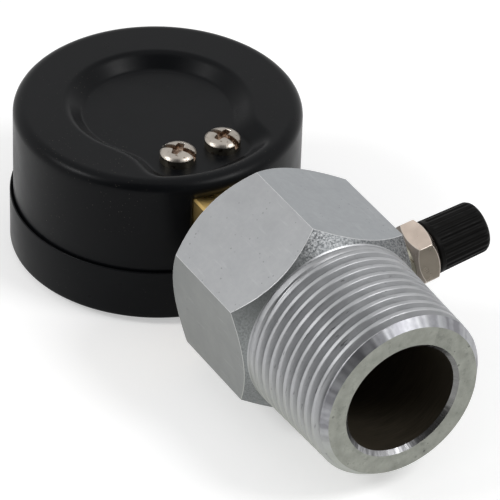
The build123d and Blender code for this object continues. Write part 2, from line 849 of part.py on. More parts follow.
with BuildPart() as valve_body:
    with BuildSketch(valve_plane(valve_hex_base)):
        RegularPolygon(valve_hex_flats / 2, 6, major_radius=False, rotation=-valve_hex_turn)
    extrude(amount=valve_hex_height)
    valve_corner = valve_hex_flats / sqrt(3)
    valve_flat = valve_hex_flats / 2 * valve_chamfer_start
    chamfer_rise = (valve_corner - valve_flat) * tan(radians(valve_hex_chamfer_angle))
    turned(
        [
            (valve_hex_base, 0),
            (valve_hex_base, valve_flat),
            (valve_hex_base + chamfer_rise, valve_corner),
            (valve_hex_top - chamfer_rise, valve_corner),
            (valve_hex_top, valve_flat),
            (valve_hex_top, 0),
        ],
        valve_section,
        valve_axis,
        mode=Mode.INTERSECT,
    )
    turned(
        [
            (valve_inner_end, 0),
            (valve_inner_end, valve_thread_radius - valve_lead_in),
            (valve_inner_end + valve_lead_in, valve_thread_radius),
            (valve_hex_base, valve_thread_radius),
            (valve_hex_top, valve_stem_radius),
            (valve_tip - valve_tip_chamfer, valve_stem_radius),
            (valve_tip, valve_stem_radius - valve_tip_chamfer),
            (valve_tip, 0),
        ],
        valve_section,
        valve_axis,
    )
    turned(
        [
            (valve_inner_end, 0),
            (valve_inner_end, valve_bore_radius),
            (core_seat, valve_bore_radius),
            (core_seat + core_gasket_length, core_plug_radius),
            (valve_tip, core_plug_radius),
            (valve_tip, 0),
        ],
        valve_section,
        valve_axis,
        mode=Mode.SUBTRACT,
    )
finish(valve_body, "valve_body")

with BuildPart() as core_barrel:
    turned(
        [
            (core_barrel_end, core_pin_radius + sliding_clearance),
            (core_barrel_end, core_barrel_radius),
            (core_plug_base, core_barrel_radius),
            (core_plug_base, core_plug_radius),
            (core_plug_top, core_plug_radius),
            (core_plug_top, core_pin_radius + sliding_clearance),
            (core_cavity_end, core_pin_radius + sliding_clearance),
            (core_cavity_end, core_cavity_radius),
            (core_barrel_end + core_shoulder, core_cavity_radius),
            (core_barrel_end + core_shoulder, core_pin_radius + sliding_clearance),
        ],
        valve_section,
        valve_axis,
    )
finish(core_barrel, "core_barrel")

with BuildPart() as core_gasket:
    turned(
        [
            (core_seat, core_barrel_radius),
            (core_seat, valve_bore_radius),
            (core_seat + core_gasket_length, core_plug_radius),
            (core_plug_base, core_plug_radius),
            (core_plug_base, core_barrel_radius),
        ],
        valve_section,
        valve_axis,
    )
finish(core_gasket, "core_gasket")

with BuildPart() as core_pin:
    turned(
        [
            (core_cup_end, 0),
            (core_cup_end, core_barrel_radius),
            (core_cup_end + core_cup_height, core_barrel_radius),
            (core_cup_end + core_cup_height, core_pin_radius),
            (core_collar, core_pin_radius),
            (core_collar, core_cavity_radius - free_clearance / 2),
            (core_collar + core_collar_height, core_cavity_radius - free_clearance / 2),
            (core_collar + core_collar_height, core_pin_radius),
            (core_pin_tip, core_pin_radius),
            (core_pin_tip, 0),
        ],
        valve_section,
        valve_axis,
    )
finish(core_pin, "core_pin")

with BuildPart() as core_seal:
    turned(
        [
            (core_cup_end + core_cup_height, core_pin_radius),
            (core_cup_end + core_cup_height, core_barrel_radius),
            (core_barrel_end - face_gap, core_barrel_radius),
            (core_barrel_end - face_gap, core_pin_radius),
        ],
        valve_section,
        valve_axis,
    )
finish(core_seal, "core_seal")

spring_base = core_barrel_end + core_shoulder + core_spring_wire / 2 + face_gap
spring_top = core_collar - core_spring_wire / 2 - face_gap

with BuildPart() as core_spring:
    with BuildLine() as coil:
        Helix(
            pitch=(spring_top - spring_base) / core_spring_turns,
            height=spring_top - spring_base,
            radius=core_spring_radius,
            center=valve_origin + valve_direction * spring_base,
            direction=valve_direction,
        )
    with BuildSketch(Plane(coil.line @ 0, z_dir=coil.line % 0)):
        RegularPolygon(core_spring_wire / 2, 8)
    sweep(path=coil.line, is_frenet=True)
finish(core_spring, "core_spring")

# ---------------------------------------------------------------- dust cap

with BuildPart() as dust_cap:
    cap_inside = valve_stem_radius + sliding_clearance
    turned(
        [
            (cap_base, 0),
            (cap_base, cap_skirt_radius),
            (cap_end, cap_end_radius),
            (cap_end, 0),
        ],
        valve_section,
        valve_axis,
    )
    fillet(
        dust_cap.edges().filter_by(GeomType.CIRCLE).sort_by(lambda edge: edge.center().Y)[-1],
        cap_edge_radius,
    )
    with BuildSketch(valve_plane(cap_base + cap_plain_skirt)):
        with PolarLocations(cap_skirt_radius, cap_rib_count):
            Rectangle(2 * cap_rib_depth, rib_gap)
    extrude(amount=cap_length, mode=Mode.SUBTRACT)
    with BuildSketch(valve_plane(cap_base)):
        Circle(cap_inside)
    extrude(amount=cap_length - cap_roof, mode=Mode.SUBTRACT)
finish(dust_cap, "dust_cap")

with BuildPart() as cap_seal:
    with BuildSketch(valve_plane(cap_end - cap_roof - face_gap)):
        Circle(cap_inside - free_clearance)
    extrude(amount=-(cap_end - cap_roof - 2 * face_gap - valve_tip))
finish(cap_seal, "cap_seal")
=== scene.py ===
from math import cos, pi, radians, sin, sqrt

import bmesh
import bpy
import numpy as np
from mathutils import Matrix, Vector


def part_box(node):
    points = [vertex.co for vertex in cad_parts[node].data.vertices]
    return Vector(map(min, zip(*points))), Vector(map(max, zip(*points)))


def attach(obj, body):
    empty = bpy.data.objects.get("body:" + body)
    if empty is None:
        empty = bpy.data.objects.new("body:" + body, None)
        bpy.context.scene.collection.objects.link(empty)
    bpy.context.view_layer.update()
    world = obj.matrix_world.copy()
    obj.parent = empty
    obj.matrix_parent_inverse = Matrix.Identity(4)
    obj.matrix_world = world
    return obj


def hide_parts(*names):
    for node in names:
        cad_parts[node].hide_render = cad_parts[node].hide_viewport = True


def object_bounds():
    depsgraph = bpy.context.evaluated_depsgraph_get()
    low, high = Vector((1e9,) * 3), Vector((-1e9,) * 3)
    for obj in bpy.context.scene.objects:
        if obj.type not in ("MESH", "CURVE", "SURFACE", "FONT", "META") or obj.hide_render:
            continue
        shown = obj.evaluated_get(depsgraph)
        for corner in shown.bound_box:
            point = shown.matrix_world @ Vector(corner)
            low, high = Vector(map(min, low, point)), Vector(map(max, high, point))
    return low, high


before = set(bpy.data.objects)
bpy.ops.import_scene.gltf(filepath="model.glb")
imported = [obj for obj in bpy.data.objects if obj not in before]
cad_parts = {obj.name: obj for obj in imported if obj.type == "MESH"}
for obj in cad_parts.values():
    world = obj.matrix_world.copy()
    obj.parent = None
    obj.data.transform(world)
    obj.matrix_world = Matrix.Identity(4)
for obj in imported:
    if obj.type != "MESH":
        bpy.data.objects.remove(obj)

# The looks of a pressure test gauge assembly: a dial gauge in a plated hexagon adapter with a taper
# pipe thread and a tank valve. Lengths are millimetres in the CAD frame until a mesh is made.
MM = 0.001

cad_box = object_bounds()

# ---------------- main sizes

# Adapter
PIPE_RADIUS = 16.3
PIPE_TAPER = 1 / 32
PITCH = 25.4 / 11.5
CREST = 0.8
THREAD_LENGTH = 20.9
THREAD_RUN_OUT = 1.5
END_CHAMFER = 1.95
END_FACE_RADIUS = 14.85
NECK_LENGTH = 2.6
HEX_FLATS = 34.9
HEX_TURN = 7.5
REAR_FACE_RADIUS = 17.0
BORE_RADIUS = 10.6
BORE_RIM = 0.72
BORE_DEPTH = 34.5
BORE_CONE = 2.0
GAUGE_PORT_RADIUS = 5.6
STEM_HOLE_RADIUS = 6.75
STEM_HOLE_DEPTH = 10.8
STEM_HOLE_CHAMFER = 1.0

# Gauge
CASE_WALL = 0.8
CASE_EDGE = 2.15
RECESS_DEPTH = 2.45
SOCKET_FLATS = 14.3
SOCKET_CLEARANCE = 0.1
RING_WALL = 0.6
RING_LIP = 3.9

# Case screws
SCREW_SETBACK = 15.0
SCREW_SPACING = 9.26
SCREW_RADIUS = 3.3
SCREW_SHANK = 1.6

# Tank valve, along its axis from the thread axis
VALVE_SETBACK = 31.5
VALVE_THREAD_RADIUS = 4.9
VALVE_INNER_END = 11.2
VALVE_HEX_FLATS = 11.1
VALVE_HEX_BASE = 19.6
VALVE_HEX_TOP = 24.5
VALVE_HEX_TURN = -15.6
VALVE_STEM_RADIUS = 3.85
VALVE_TIP = 33.4
VALVE_PITCH = 25.4 / 32
VALVE_BORE_RADIUS = 2.2
CORE_PLUG_RADIUS = 2.65
CORE_PLUG_DEPTH = 5.9

# Dust cap
CAP_BASE = 24.8
CAP_END = 35.7
CAP_SKIRT_RADIUS = 4.99
CAP_END_RADIUS = 4.8
CAP_EDGE = 1.5
CAP_PLAIN_SKIRT = 0.9
CAP_RIBS = 24
CAP_RIB_DEPTH = 0.22
CAP_INSIDE_RADIUS = 3.95
CAP_ROOF = 1.4


def box_mm(node):
    """A node's lowest and highest corners in millimetres."""
    low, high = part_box(node)
    return Vector(low) / MM, Vector(high) / MM


case_low, case_high = box_mm("case")
ring_low, ring_high = box_mm("bezel_ring")
gauge_x = (case_low.x + case_high.x) / 2
case_radius = (case_high.x - case_low.x) / 2
ring_radius = (ring_high.x - ring_low.x) / 2
dial_z = box_mm("dial_plate")[0].z
hex_rear_x = box_mm("hex_body")[0].x
hex_front_x = -(THREAD_LENGTH + NECK_LENGTH)
neck_radius = PIPE_RADIUS + PIPE_TAPER * THREAD_LENGTH
valve_direction = Vector((0, cos(radians(HEX_TURN)), sin(radians(HEX_TURN))))

# Each turned piece has a frame: its origin, its axis and the two directions across it
X, Y, Z = Vector((1, 0, 0)), Vector((0, 1, 0)), Vector((0, 0, 1))
ADAPTER_FRAME = (Vector((0, 0, 0)), X, Y, Z)
GAUGE_FRAME = (Vector((gauge_x, 0, 0)), Z, X, Y)
VALVE_FRAME = (Vector((-VALVE_SETBACK, 0, 0)), valve_direction, X, valve_direction.cross(X))

# ---------------- mesh helpers

WELD = 2e-6  # metres


def smoothstep(low, high, value):
    """0 below low, 1 above high, and a soft step between them, for numbers or arrays."""
    t = np.clip((value - low) / (high - low), 0, 1)
    return t * t * (3 - 2 * t)


def soft_min(a, b, radius):
    """The smaller of two distances, rounded over a radius where they meet."""
    h = np.maximum(radius - np.abs(a - b), 0) / radius
    return np.minimum(a, b) - h * h * radius / 4


def soft_max(a, b, radius):
    """The larger of two distances, rounded over a radius where they meet."""
    return -soft_min(-a, -b, radius)


def placed(turned_frame, along, radius, angle):
    """Points in metres from distances along an axis, radii and angles about it (arrays)."""
    origin, axis, across, up = (np.array(v) for v in turned_frame)
    along, radius, angle = (np.asarray(v, float)[..., None] for v in (along, radius, angle))
    points = origin + axis * along + (across * np.cos(angle) + up * np.sin(angle)) * radius
    return points * MM


def add_object(name, data):
    """A new object in the scene."""
    made = bpy.data.objects.new(name, data)
    bpy.context.scene.collection.objects.link(made)
    return made


def axes_matrix(right, up, back, origin):
    """The matrix that turns an object to three directions and puts it at an origin."""
    place = Matrix((right, up, back)).transposed().to_4x4()
    place.translation = origin
    return place


class Surface:
    """Collects closed rings of points with quads between them, and welds them into one mesh."""

    def __init__(self):
        self.points = []
        self.faces = []
        self.slots = []
        self.count = 0

    def grid(self, points, slot=0, shift=0, skip=lambda row, column: False):
        """Adds rows x columns of points, with the last column joined to the first, shift rows on.
        The slot is one number, or an array with one for each point's face."""
        rows, columns = points.shape[:2]
        slots = np.broadcast_to(slot, (rows, columns))
        start = self.count
        self.points.append(points.reshape(-1, 3))
        self.count += rows * columns
        for row in range(rows - 1):
            for column in range(columns):
                after = (column + 1) % columns
                step = shift if after == 0 else 0
                if skip(row, column) or row + 1 + step >= rows:
                    continue
                here = start + row * columns
                there = here + step * columns
                self.faces.append(
                    (here + column, there + after, there + columns + after, here + columns + column)
                )
                self.slots.append(int(slots[row, column]))

    def turn(self, turned_frame, profile, angles, slot=0, **grid):
        """Adds a profile turned about an axis: pairs of a distance along it and a radius, where
        either may be an array with a number for each angle."""
        rows = [placed(turned_frame, a + 0 * angles, r + 0 * angles, angles) for a, r in profile]
        self.grid(np.array(rows), slot, **grid)

    def mesh(self, name, materials):
        """The welded mesh, shaded smooth."""
        mesh = bpy.data.meshes.new(name)
        mesh.from_pydata(np.concatenate(self.points).tolist(), [], self.faces)
        for material in materials:
            mesh.materials.append(material)
        mesh.polygons.foreach_set("material_index", self.slots)
        work = bmesh.new()
        work.from_mesh(mesh)
        bmesh.ops.remove_doubles(work, verts=work.verts, dist=WELD)
        bmesh.ops.dissolve_degenerate(work, edges=work.edges, dist=WELD / 4)
        loose = [vert for vert in work.verts if not vert.link_faces]
        bmesh.ops.delete(work, geom=loose, context="VERTS")
        bmesh.ops.recalc_face_normals(work, faces=work.faces)
        work.to_mesh(mesh)
        work.free()
        mesh.polygons.foreach_set("use_smooth", [True] * len(mesh.polygons))
        return mesh

    def piece(self, name, materials, body, slot, sharp):
        """Makes the object and rides it on a body; the slot is not used. Edges that turn by more
        than sharp degrees stay sharp."""
        mesh = self.mesh(name, materials)
        mesh.set_sharp_from_angle(angle=radians(sharp))
        made = add_object(name, mesh)
        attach(made, body)
        return made


def round_angles(count):
    """Angles evenly spaced round a full turn."""
    return np.arange(count) * 2 * pi / count


def hex_angles(flats, turn, count):
    """Angles about a hexagon's axis, evenly spaced across each flat, and the radius at each."""
    apothem = flats / 2
    half = apothem / sqrt(3)
    across = (np.arange(count) / count * 2 - 1) * half
    one = np.arctan2(across, apothem)
    angles = np.concatenate([one + radians(60 * k + turn) for k in range(6)])
    radii = np.tile(np.sqrt(apothem**2 + across**2), 6)
    return angles, radii


def arc_profile(centre, radius, start, end, steps):
    """Points on an arc in a profile's (along, radius) plane, with angles in degrees from +along."""
    turn = np.radians(np.linspace(start, end, steps + 1))
    return [(centre[0] + radius * cos(t), centre[1] + radius * sin(t)) for t in turn]


# ---------------- materials

NOISE_RANGE = (0.3, 0.7)
SPOT_EDGE = 0.02


class Nodes:
    """A node tree, with short ways to add the nodes that the looks need."""

    def __init__(self, tree):
        self.nodes = tree.nodes
        self.links = tree.links

    def feed(self, socket, value):
        """Links a socket, or gives it a number, vector or colour of its own."""
        if isinstance(value, bpy.types.NodeSocket):
            self.links.new(value, socket)
        elif socket.type == "RGBA":
            socket.default_value = (*value, 1)
        else:
            socket.default_value = value

    def add(self, kind, inputs=None, **settings):
        """A new node with these settings, and with its sockets fed by name or by place."""
        node = self.nodes.new("ShaderNode" + kind)
        for name, value in settings.items():
            setattr(node, name, value)
        for socket, value in (inputs or {}).items():
            self.feed(node.inputs[socket], value)
        return node

    def math(self, operation, a, b):
        return self.add("Math", {0: a, 1: b}, operation=operation).outputs["Value"]

    def mixed(self, fac, a, b):
        """A colour between a and b, each a colour or a socket."""
        node = self.add("Mix", {"Factor": fac}, data_type="RGBA")
        for socket, value in zip([s for s in node.inputs if s.type == "RGBA"], (a, b)):
            self.feed(socket, value)
        return next(s for s in node.outputs if s.type == "RGBA")

    def seen_rays(self):
        """1 for the rays that show the background: the camera's, and those of metal and glass."""
        path = self.add("LightPath").outputs
        seen = self.math("MAXIMUM", path["Is Camera Ray"], path["Is Glossy Ray"])
        return self.math("MAXIMUM", seen, path["Is Transmission Ray"])


class Finish(Nodes):
    """A procedural material on one Principled shader."""

    def __init__(self, name, metallic=0.0, specular=0.5):
        self.material = bpy.data.materials.new(name)
        self.material.use_nodes = True
        super().__init__(self.material.node_tree)
        self.shader = self.nodes["Principled BSDF"].inputs
        self.shader["Metallic"].default_value = metallic
        self.shader["Specular IOR Level"].default_value = specular
        coordinates = self.add("TexCoord").outputs
        self.place = coordinates["Object"]
        self.normal = coordinates["Normal"]
        self.bumped = None

    def stretched(self, *scale):
        """The object's coordinates scaled by a number for each axis, for grain and lines."""
        return self.add("Mapping", {"Vector": self.place, "Scale": scale}).outputs["Vector"]

    def vector_math(self, operation, *values):
        inputs = dict(enumerate(values))
        return self.add("VectorMath", inputs, operation=operation).outputs["Vector"]

    def turned(self, along, around):
        """Coordinates along the adapter's axis and round it, scaled by a number for each."""
        length = self.vector_math("MULTIPLY", self.place, (along, 0, 0))
        turn = self.vector_math("NORMALIZE", self.vector_math("MULTIPLY", self.place, (0, 1, 1)))
        return self.vector_math("MULTIPLY_ADD", turn, (around, around, around), length)

    def facing(self, axis):
        """The surface's own normal along one of the object's axes, from -1 to 1."""
        return self.add("SeparateXYZ", {"Vector": self.normal}).outputs[axis]

    def noise(self, scale, detail=3.0, roughness=0.55, place=None):
        """Noise at so many waves a metre, or over coordinates that are scaled already."""
        inputs = {"Scale": scale, "Detail": detail, "Roughness": roughness}
        inputs["Vector"] = place or self.place
        return self.add("TexNoise", inputs).outputs["Fac"]

    def spots(self, scale, size):
        """Small round spots: 1 inside each and 0 between them."""
        cells = self.add("TexVoronoi", {"Vector": self.place, "Scale": scale})
        return self.ranged(cells.outputs["Distance"], size + SPOT_EDGE, size, 0, 1)

    def ranged(self, value, low, high, to_low, to_high):
        """A value's run from low to high, brought to a run from to_low to to_high."""
        limits = {"From Min": low, "From Max": high, "To Min": to_low, "To Max": to_high}
        return self.add("MapRange", {"Value": value, **limits}).outputs["Result"]

    def spread(self, noise, low=0, high=1):
        """A noise's usual range, brought to a run from low to high."""
        return self.ranged(noise, *NOISE_RANGE, low, high)

    def drift(self, noise, dark, light):
        """A colour that goes from dark to light with a noise."""
        return self.mixed(self.spread(noise), dark, light)

    def colour(self, value):
        self.feed(self.shader["Base Color"], value)

    def rough(self, value):
        self.feed(self.shader["Roughness"], value)

    def bump(self, value, depth, strength):
        """Adds a bump of a real depth in metres on top of those before it."""
        inputs = {"Height": value, "Distance": depth, "Strength": strength}
        if self.bumped:
            inputs["Normal"] = self.bumped
        self.bumped = self.add("Bump", inputs).outputs["Normal"]
        self.feed(self.shader["Normal"], self.bumped)
        return self


def plated_flat():
    """Satin plate over milled flats, with tiny pits, and painted reflections: darker and greener on
    the flats that face down, paler and bluer on the valve's side.
    """
    satin = (0.302, 0.308, 0.315), (0.323, 0.328, 0.334)
    underside_reflection, valve_side_reflection = (0.185, 0.198, 0.178), (0.34, 0.36, 0.378)
    mottle, scuff, pit = (0.22, 0.225, 0.235), (0.52, 0.53, 0.54), (0.15, 0.15, 0.15)
    f = Finish("plated_flat", metallic=1.0)
    base = f.drift(f.noise(160, 4), *satin)
    # Painted reflection: flats that face down turn darker and greener.
    base = f.mixed(f.ranged(f.facing("Z"), 0.15, -0.35, 0, 0.9), base, underside_reflection)
    # Painted reflection: flats that face the valve's side turn paler and bluer.
    base = f.mixed(f.ranged(f.facing("Y"), 0.0, 0.5, 0, 0.75), base, valve_side_reflection)
    base = f.mixed(f.ranged(f.noise(900, 4, 0.6), 0.42, 0.60, 0.12, 0), base, mottle)
    scuffs = f.noise(1.0, 3, 0.6, f.stretched(150, 1500, 1500))
    base = f.mixed(f.ranged(scuffs, 0.60, 0.72, 0, 0.14), base, scuff)
    pits = f.math("MULTIPLY", f.spots(900, 0.13), f.ranged(f.noise(170, 2), 0.49, 0.62, 0, 0.6))
    f.colour(f.mixed(pits, base, pit))
    f.rough(f.spread(f.noise(260, 3), 0.38, 0.46))
    f.bump(f.noise(1500, 3), 1.2e-5, 0.6)
    return f.bump(f.noise(140, 2), 2e-5, 0.5).material


def plated_lines(name, dark, light, rough, depth, metallic=1.0):
    """Plate over turned metal, with fine lines round the axis, faint blotches, torn specks and a
    painted olive reflection on the sides that face down."""
    underside_olive_reflection = (0.86 * light[0], 0.885 * light[1], 0.76 * light[2])
    speck = (0.09, 0.09, 0.09)
    f = Finish(name, metallic=metallic)
    cloud = f.noise(300, 4)
    base = f.drift(cloud, dark, light)
    # Painted reflection: sides that face down take an olive tone.
    base = f.mixed(f.ranged(f.facing("Z"), 0.1, -0.4, 0, 0.8), base, underside_olive_reflection)
    torn = f.noise(1.0, 3, 0.7, f.stretched(2600, 260, 260))
    f.colour(f.mixed(f.ranged(torn, 0.645, 0.72, 0, 0.8), base, speck))
    f.rough(f.spread(cloud, *rough))
    f.bump(f.noise(1.0, 2, place=f.stretched(9000, 250, 250)), 8e-6, 0.5)
    return f.bump(f.noise(420, 3), depth, 0.6).material


def plated_chamfer():
    """Bright plate over a turned cone whose tool left small facets, painted light and dark as their
    reflections, and paler and greener as a painted reflection on the sides that face down.
    """
    facet_shading = (0.205, 0.205, 0.22), (0.37, 0.375, 0.39)
    underside_reflection = (0.37, 0.385, 0.345)
    f = Finish("plated_chamfer", metallic=1.0)
    facets = f.noise(1.0, 1, place=f.turned(0, 7.5))
    grain = f.spread(f.noise(900, 3), -0.05, 0.05)
    # Painted reflection: each facet's tone, light to dark, follows the same noise as its tilt.
    base = f.mixed(f.ranged(f.math("ADD", facets, grain), 0.38, 0.60, 0, 1), *facet_shading)
    # Painted reflection: sides that face down turn paler and greener.
    f.colour(f.mixed(f.ranged(f.facing("Z"), 0.0, -0.4, 0, 0.85), base, underside_reflection))
    f.rough(f.spread(facets, 0.40, 0.48))
    f.bump(facets, 3e-4, 0.5)
    return f.bump(f.noise(700, 3), 2e-5, 0.6).material


def plated_rim():
    """The small turned edge of the bore, worn unevenly, with painted shade on the valve's side."""
    worn = (0.14, 0.14, 0.145), (0.40, 0.40, 0.41)
    dull = (0.17, 0.17, 0.165)
    f = Finish("plated_rim", metallic=1.0)
    wear = f.noise(1.0, 2, place=f.turned(300, 9))
    base = f.mixed(f.ranged(wear, 0.35, 0.62, 0, 1), *worn)
    # Painted shade: the rim darkens on the valve's side.
    f.colour(f.mixed(f.ranged(f.facing("Y"), -0.15, -0.6, 0, 0.9), base, dull))
    f.rough(f.spread(wear, 0.34, 0.22))
    return f.bump(wear, 1e-4, 0.6).material


def plated_rough():
    """Plate over the torn metal of the turned corners, with painted light on the side away from the
    valve.
    """
    torn = (0.055, 0.058, 0.062), (0.265, 0.27, 0.275)
    patch, lit_side = (0.185, 0.195, 0.20), (0.25, 0.265, 0.26)
    f = Finish("plated_rough", metallic=1.0)
    grain = f.noise(1.0, 3, 0.65, f.turned(4200, 40))
    patches = f.ranged(f.noise(150, 2), 0.35, 0.65, 0, 1)
    base = f.mixed(f.ranged(grain, 0.38, 0.60, 0, 1), *torn)
    base = f.mixed(f.math("MULTIPLY", patches, 0.5), base, patch)
    # Painted light: the corners that face away from the valve take a lighter tone.
    f.colour(f.mixed(f.ranged(f.facing("Y"), -0.1, -0.6, 0, 0.65), base, lit_side))
    f.rough(f.spread(grain, 0.54, 0.42))
    return f.bump(grain, 6e-5, 0.8).material


def plated_end():
    """The dull, faintly green end face, with smears and pits."""
    olive = (0.275, 0.285, 0.252), (0.365, 0.375, 0.335)
    smear, pit = (0.15, 0.155, 0.14), (0.13, 0.13, 0.12)
    f = Finish("plated_end", metallic=0.85)
    base = f.mixed(f.ranged(f.noise(330, 5, 0.6), 0.35, 0.65, 0, 1), *olive)
    base = f.mixed(f.ranged(f.noise(520, 5, 0.7), 0.54, 0.68, 0, 0.5), base, smear)
    pits = f.math("MULTIPLY", f.spots(600, 0.14), f.ranged(f.noise(130, 2), 0.52, 0.62, 0, 0.8))
    f.colour(f.mixed(pits, base, pit))
    f.rough(f.spread(f.noise(300, 3), 0.52, 0.62))
    return f.bump(f.noise(1100, 3), 3e-5, 0.7).material


def bore_wall():
    """Drilled wall with faint rings, painted near-black brown as the shade deep in the bore."""
    bore_shade = (0.050, 0.042, 0.029), (0.078, 0.065, 0.046)
    f = Finish("bore_wall", metallic=0.6)
    lines = f.noise(1.0, 3, place=f.stretched(3500, 200, 200))
    # Painted shade: the near-black brown stands in for the shade deep in the bore.
    f.colour(f.mixed(f.ranged(lines, 0.35, 0.65, 0, 1), *bore_shade))
    f.rough(f.spread(lines, 0.42, 0.6))
    return f.bump(lines, 1e-5, 0.8).material


def black_enamel():
    """Semi-gloss black paint over pressed steel, with orange peel and a little dust."""
    paint = (0.0026, 0.0029, 0.0036), (0.0042, 0.0046, 0.0054)
    speck = (0.11, 0.10, 0.085)
    f = Finish("black_enamel", specular=0.087)
    dust = f.math("MULTIPLY", f.spots(1300, 0.10), f.ranged(f.noise(60, 3), 0.5, 0.68, 0, 0.55))
    f.colour(f.mixed(dust, f.drift(f.noise(45, 4), *paint), speck))
    f.rough(f.spread(f.noise(120, 3), 0.27, 0.37))
    f.bump(f.noise(700, 2), 1e-5, 0.5)
    return f.bump(f.noise(65, 3), 8e-5, 0.4).material


def nickel(name, dark, light, stain=0.0, side_reflection=0.0, metallic=1.0, rough=(0.26, 0.42)):
    """Warm nickel plate. Stain is how much of it is browned with old dirt, and the other share is
    how much the side towards the pipe thread is darkened to olive as a painted reflection."""
    brown, olive = (0.085, 0.052, 0.034), (0.225, 0.205, 0.165)
    f = Finish(name, metallic=metallic)
    cloud = f.noise(260, 4)
    base = f.drift(cloud, dark, light)
    if stain:
        reach = 0.4 * stain
        marks = f.ranged(f.noise(1100, 4), 0.68 - reach, 0.78 - reach, 0, 0.85)
        base = f.mixed(marks, base, brown)
    # Painted reflection: the side towards the pipe thread turns darker and olive.
    if side_reflection:
        side = f.ranged(f.facing("X"), 0.35, 0.9, 0, side_reflection)
        reflected_share = f.math("MULTIPLY", side, f.ranged(cloud, 0.2, 0.8, 0.8, 1))
        base = f.mixed(reflected_share, base, olive)
    f.colour(base)
    f.rough(f.spread(f.noise(500, 3), *rough))
    return f.bump(f.noise(800, 3), 3e-5, 0.7).material


def brass(name, dark, light):
    """Bare copper alloy with fine lines across X."""
    f = Finish(name, metallic=1.0)
    f.colour(f.drift(f.noise(150, 4), dark, light))
    f.rough(f.spread(f.noise(400, 3), 0.25, 0.4))
    return f.bump(f.noise(1.0, 2, place=f.stretched(4000, 400, 400)), 1e-5, 0.6).material


def even(name, dark, light, cloud, rough, grain, sheen=None, metallic=0.0, specular=0.5):
    """A skin that drifts between two tones. Cloud is the drift's scale and detail, and sheen those
    of the roughness, where it doesn't follow the cloud. Grain is the bump's scale, detail, depth
    and strength."""
    f = Finish(name, metallic, specular)
    tone = f.noise(*cloud)
    f.colour(f.drift(tone, dark, light))
    f.rough(f.spread(f.noise(*sheen) if sheen else tone, *rough))
    scale, detail, depth, strength = grain
    return f.bump(f.noise(scale, detail), depth, strength).material


def rubber(name, dark, light):
    """Matt moulded rubber."""
    return even(name, dark, light, (500, 3), (0.6, 0.75), (1800, 3, 2e-5, 0.6), specular=0.3)


def clear_window():
    """Clear moulded polycarbonate."""
    f = Finish("clear_window")
    f.shader["Transmission Weight"].default_value = 1.0
    f.shader["IOR"].default_value = 1.45
    f.colour((0.97, 0.98, 0.98))
    f.rough(f.ranged(f.noise(200, 3), 0.4, 0.75, 0.01, 0.05))
    return f.material


PLATED_FLAT = plated_flat()
PLATED_TURNED = plated_lines(
    "plated_turned", (0.36, 0.365, 0.37), (0.42, 0.425, 0.43), rough=(0.34, 0.44), depth=2e-5
)
PLATED_CREST = plated_lines(
    "plated_crest", (0.35, 0.355, 0.365), (0.42, 0.425, 0.435), rough=(0.36, 0.46), depth=2e-5
)
# Painted light: the groove's tone sits a little above the crest's, as fill light in its shade.
PLATED_GROOVE_FILL_LIGHT = plated_lines(
    "plated_groove_fill_light", (0.37, 0.375, 0.385), (0.44, 0.445, 0.455), rough=(0.46, 0.56), depth=3e-5
)
PLATED_CHAMFER = plated_chamfer()
PLATED_RIM = plated_rim()
# Painted highlight: the rounded edges are paler and half metallic, so they read bright.
PLATED_EDGE_HIGHLIGHT = plated_lines(
    "plated_edge_highlight", (0.50, 0.505, 0.51), (0.64, 0.645, 0.65), rough=(0.34, 0.44), depth=1e-5,
    metallic=0.5,
)
PLATED_ROUGH = plated_rough()
PLATED_END = plated_end()
BORE_WALL = bore_wall()
ENAMEL = black_enamel()
# Its side towards the pipe thread takes a painted olive reflection.
NICKEL = nickel("nickel", (0.50, 0.42, 0.36), (0.63, 0.535, 0.46), side_reflection=0.9)
SCREW_NICKEL = nickel("screw_nickel", (0.31, 0.283, 0.25), (0.43, 0.393, 0.35), stain=0.22)
# Brown dirt and painted shade where the screws' slots and crosses are deep.
SCREW_DIRT_AND_SHADE = nickel("screw_dirt_and_shade", (0.24, 0.17, 0.12), (0.36, 0.27, 0.21), stain=0.45)
# Painted highlight: the valve hexagon's rounded edges are paler and less metallic.
NICKEL_EDGE_HIGHLIGHT = nickel("nickel_edge_highlight", (0.56, 0.50, 0.44), (0.70, 0.63, 0.56), metallic=0.6)
# Painted shade: the valve's neck below its hexagon is dark, with brown stains.
VALVE_NECK_SHADE = nickel(
    "valve_neck_shade", (0.17, 0.165, 0.13), (0.28, 0.27, 0.22), stain=0.3, rough=(0.5, 0.65)
)
SCREW_SIDE = nickel("screw_side", (0.30, 0.27, 0.21), (0.44, 0.40, 0.32), stain=0.3)
BRASS = brass("brass", (0.55, 0.38, 0.13), (0.68, 0.48, 0.19))
BRONZE = brass("bronze", (0.30, 0.20, 0.075), (0.42, 0.29, 0.11))
CAP_PLASTIC = even(
    "cap_moulding", (0.0020, 0.0019, 0.0018), (0.0036, 0.0034, 0.0031), cloud=(300, 3),
    rough=(0.42, 0.56), grain=(2200, 2, 1e-5, 0.5), sheen=(600, 2), specular=0.07,
)
BLACK_RUBBER = rubber("black_rubber_skin", (0.021, 0.021, 0.021), (0.03, 0.03, 0.03))
WHITE_SEAL = rubber("white_seal_skin", (0.525, 0.518, 0.49), (0.75, 0.74, 0.70))
DIAL_WHITE = even(
    "dial_white", (0.78, 0.78, 0.76), (0.84, 0.84, 0.82), cloud=(80, 3), rough=(0.4, 0.5),
    grain=(900, 2, 1e-5, 0.4), sheen=(300, 2), specular=0.4,
)
BLACK_INK = even(
    "black_ink", (0.012, 0.012, 0.012), (0.022, 0.022, 0.022), cloud=(700, 3), rough=(0.45, 0.6),
    grain=(1500, 2, 1e-5, 0.4), specular=0.35,
)
CLEAR = clear_window()
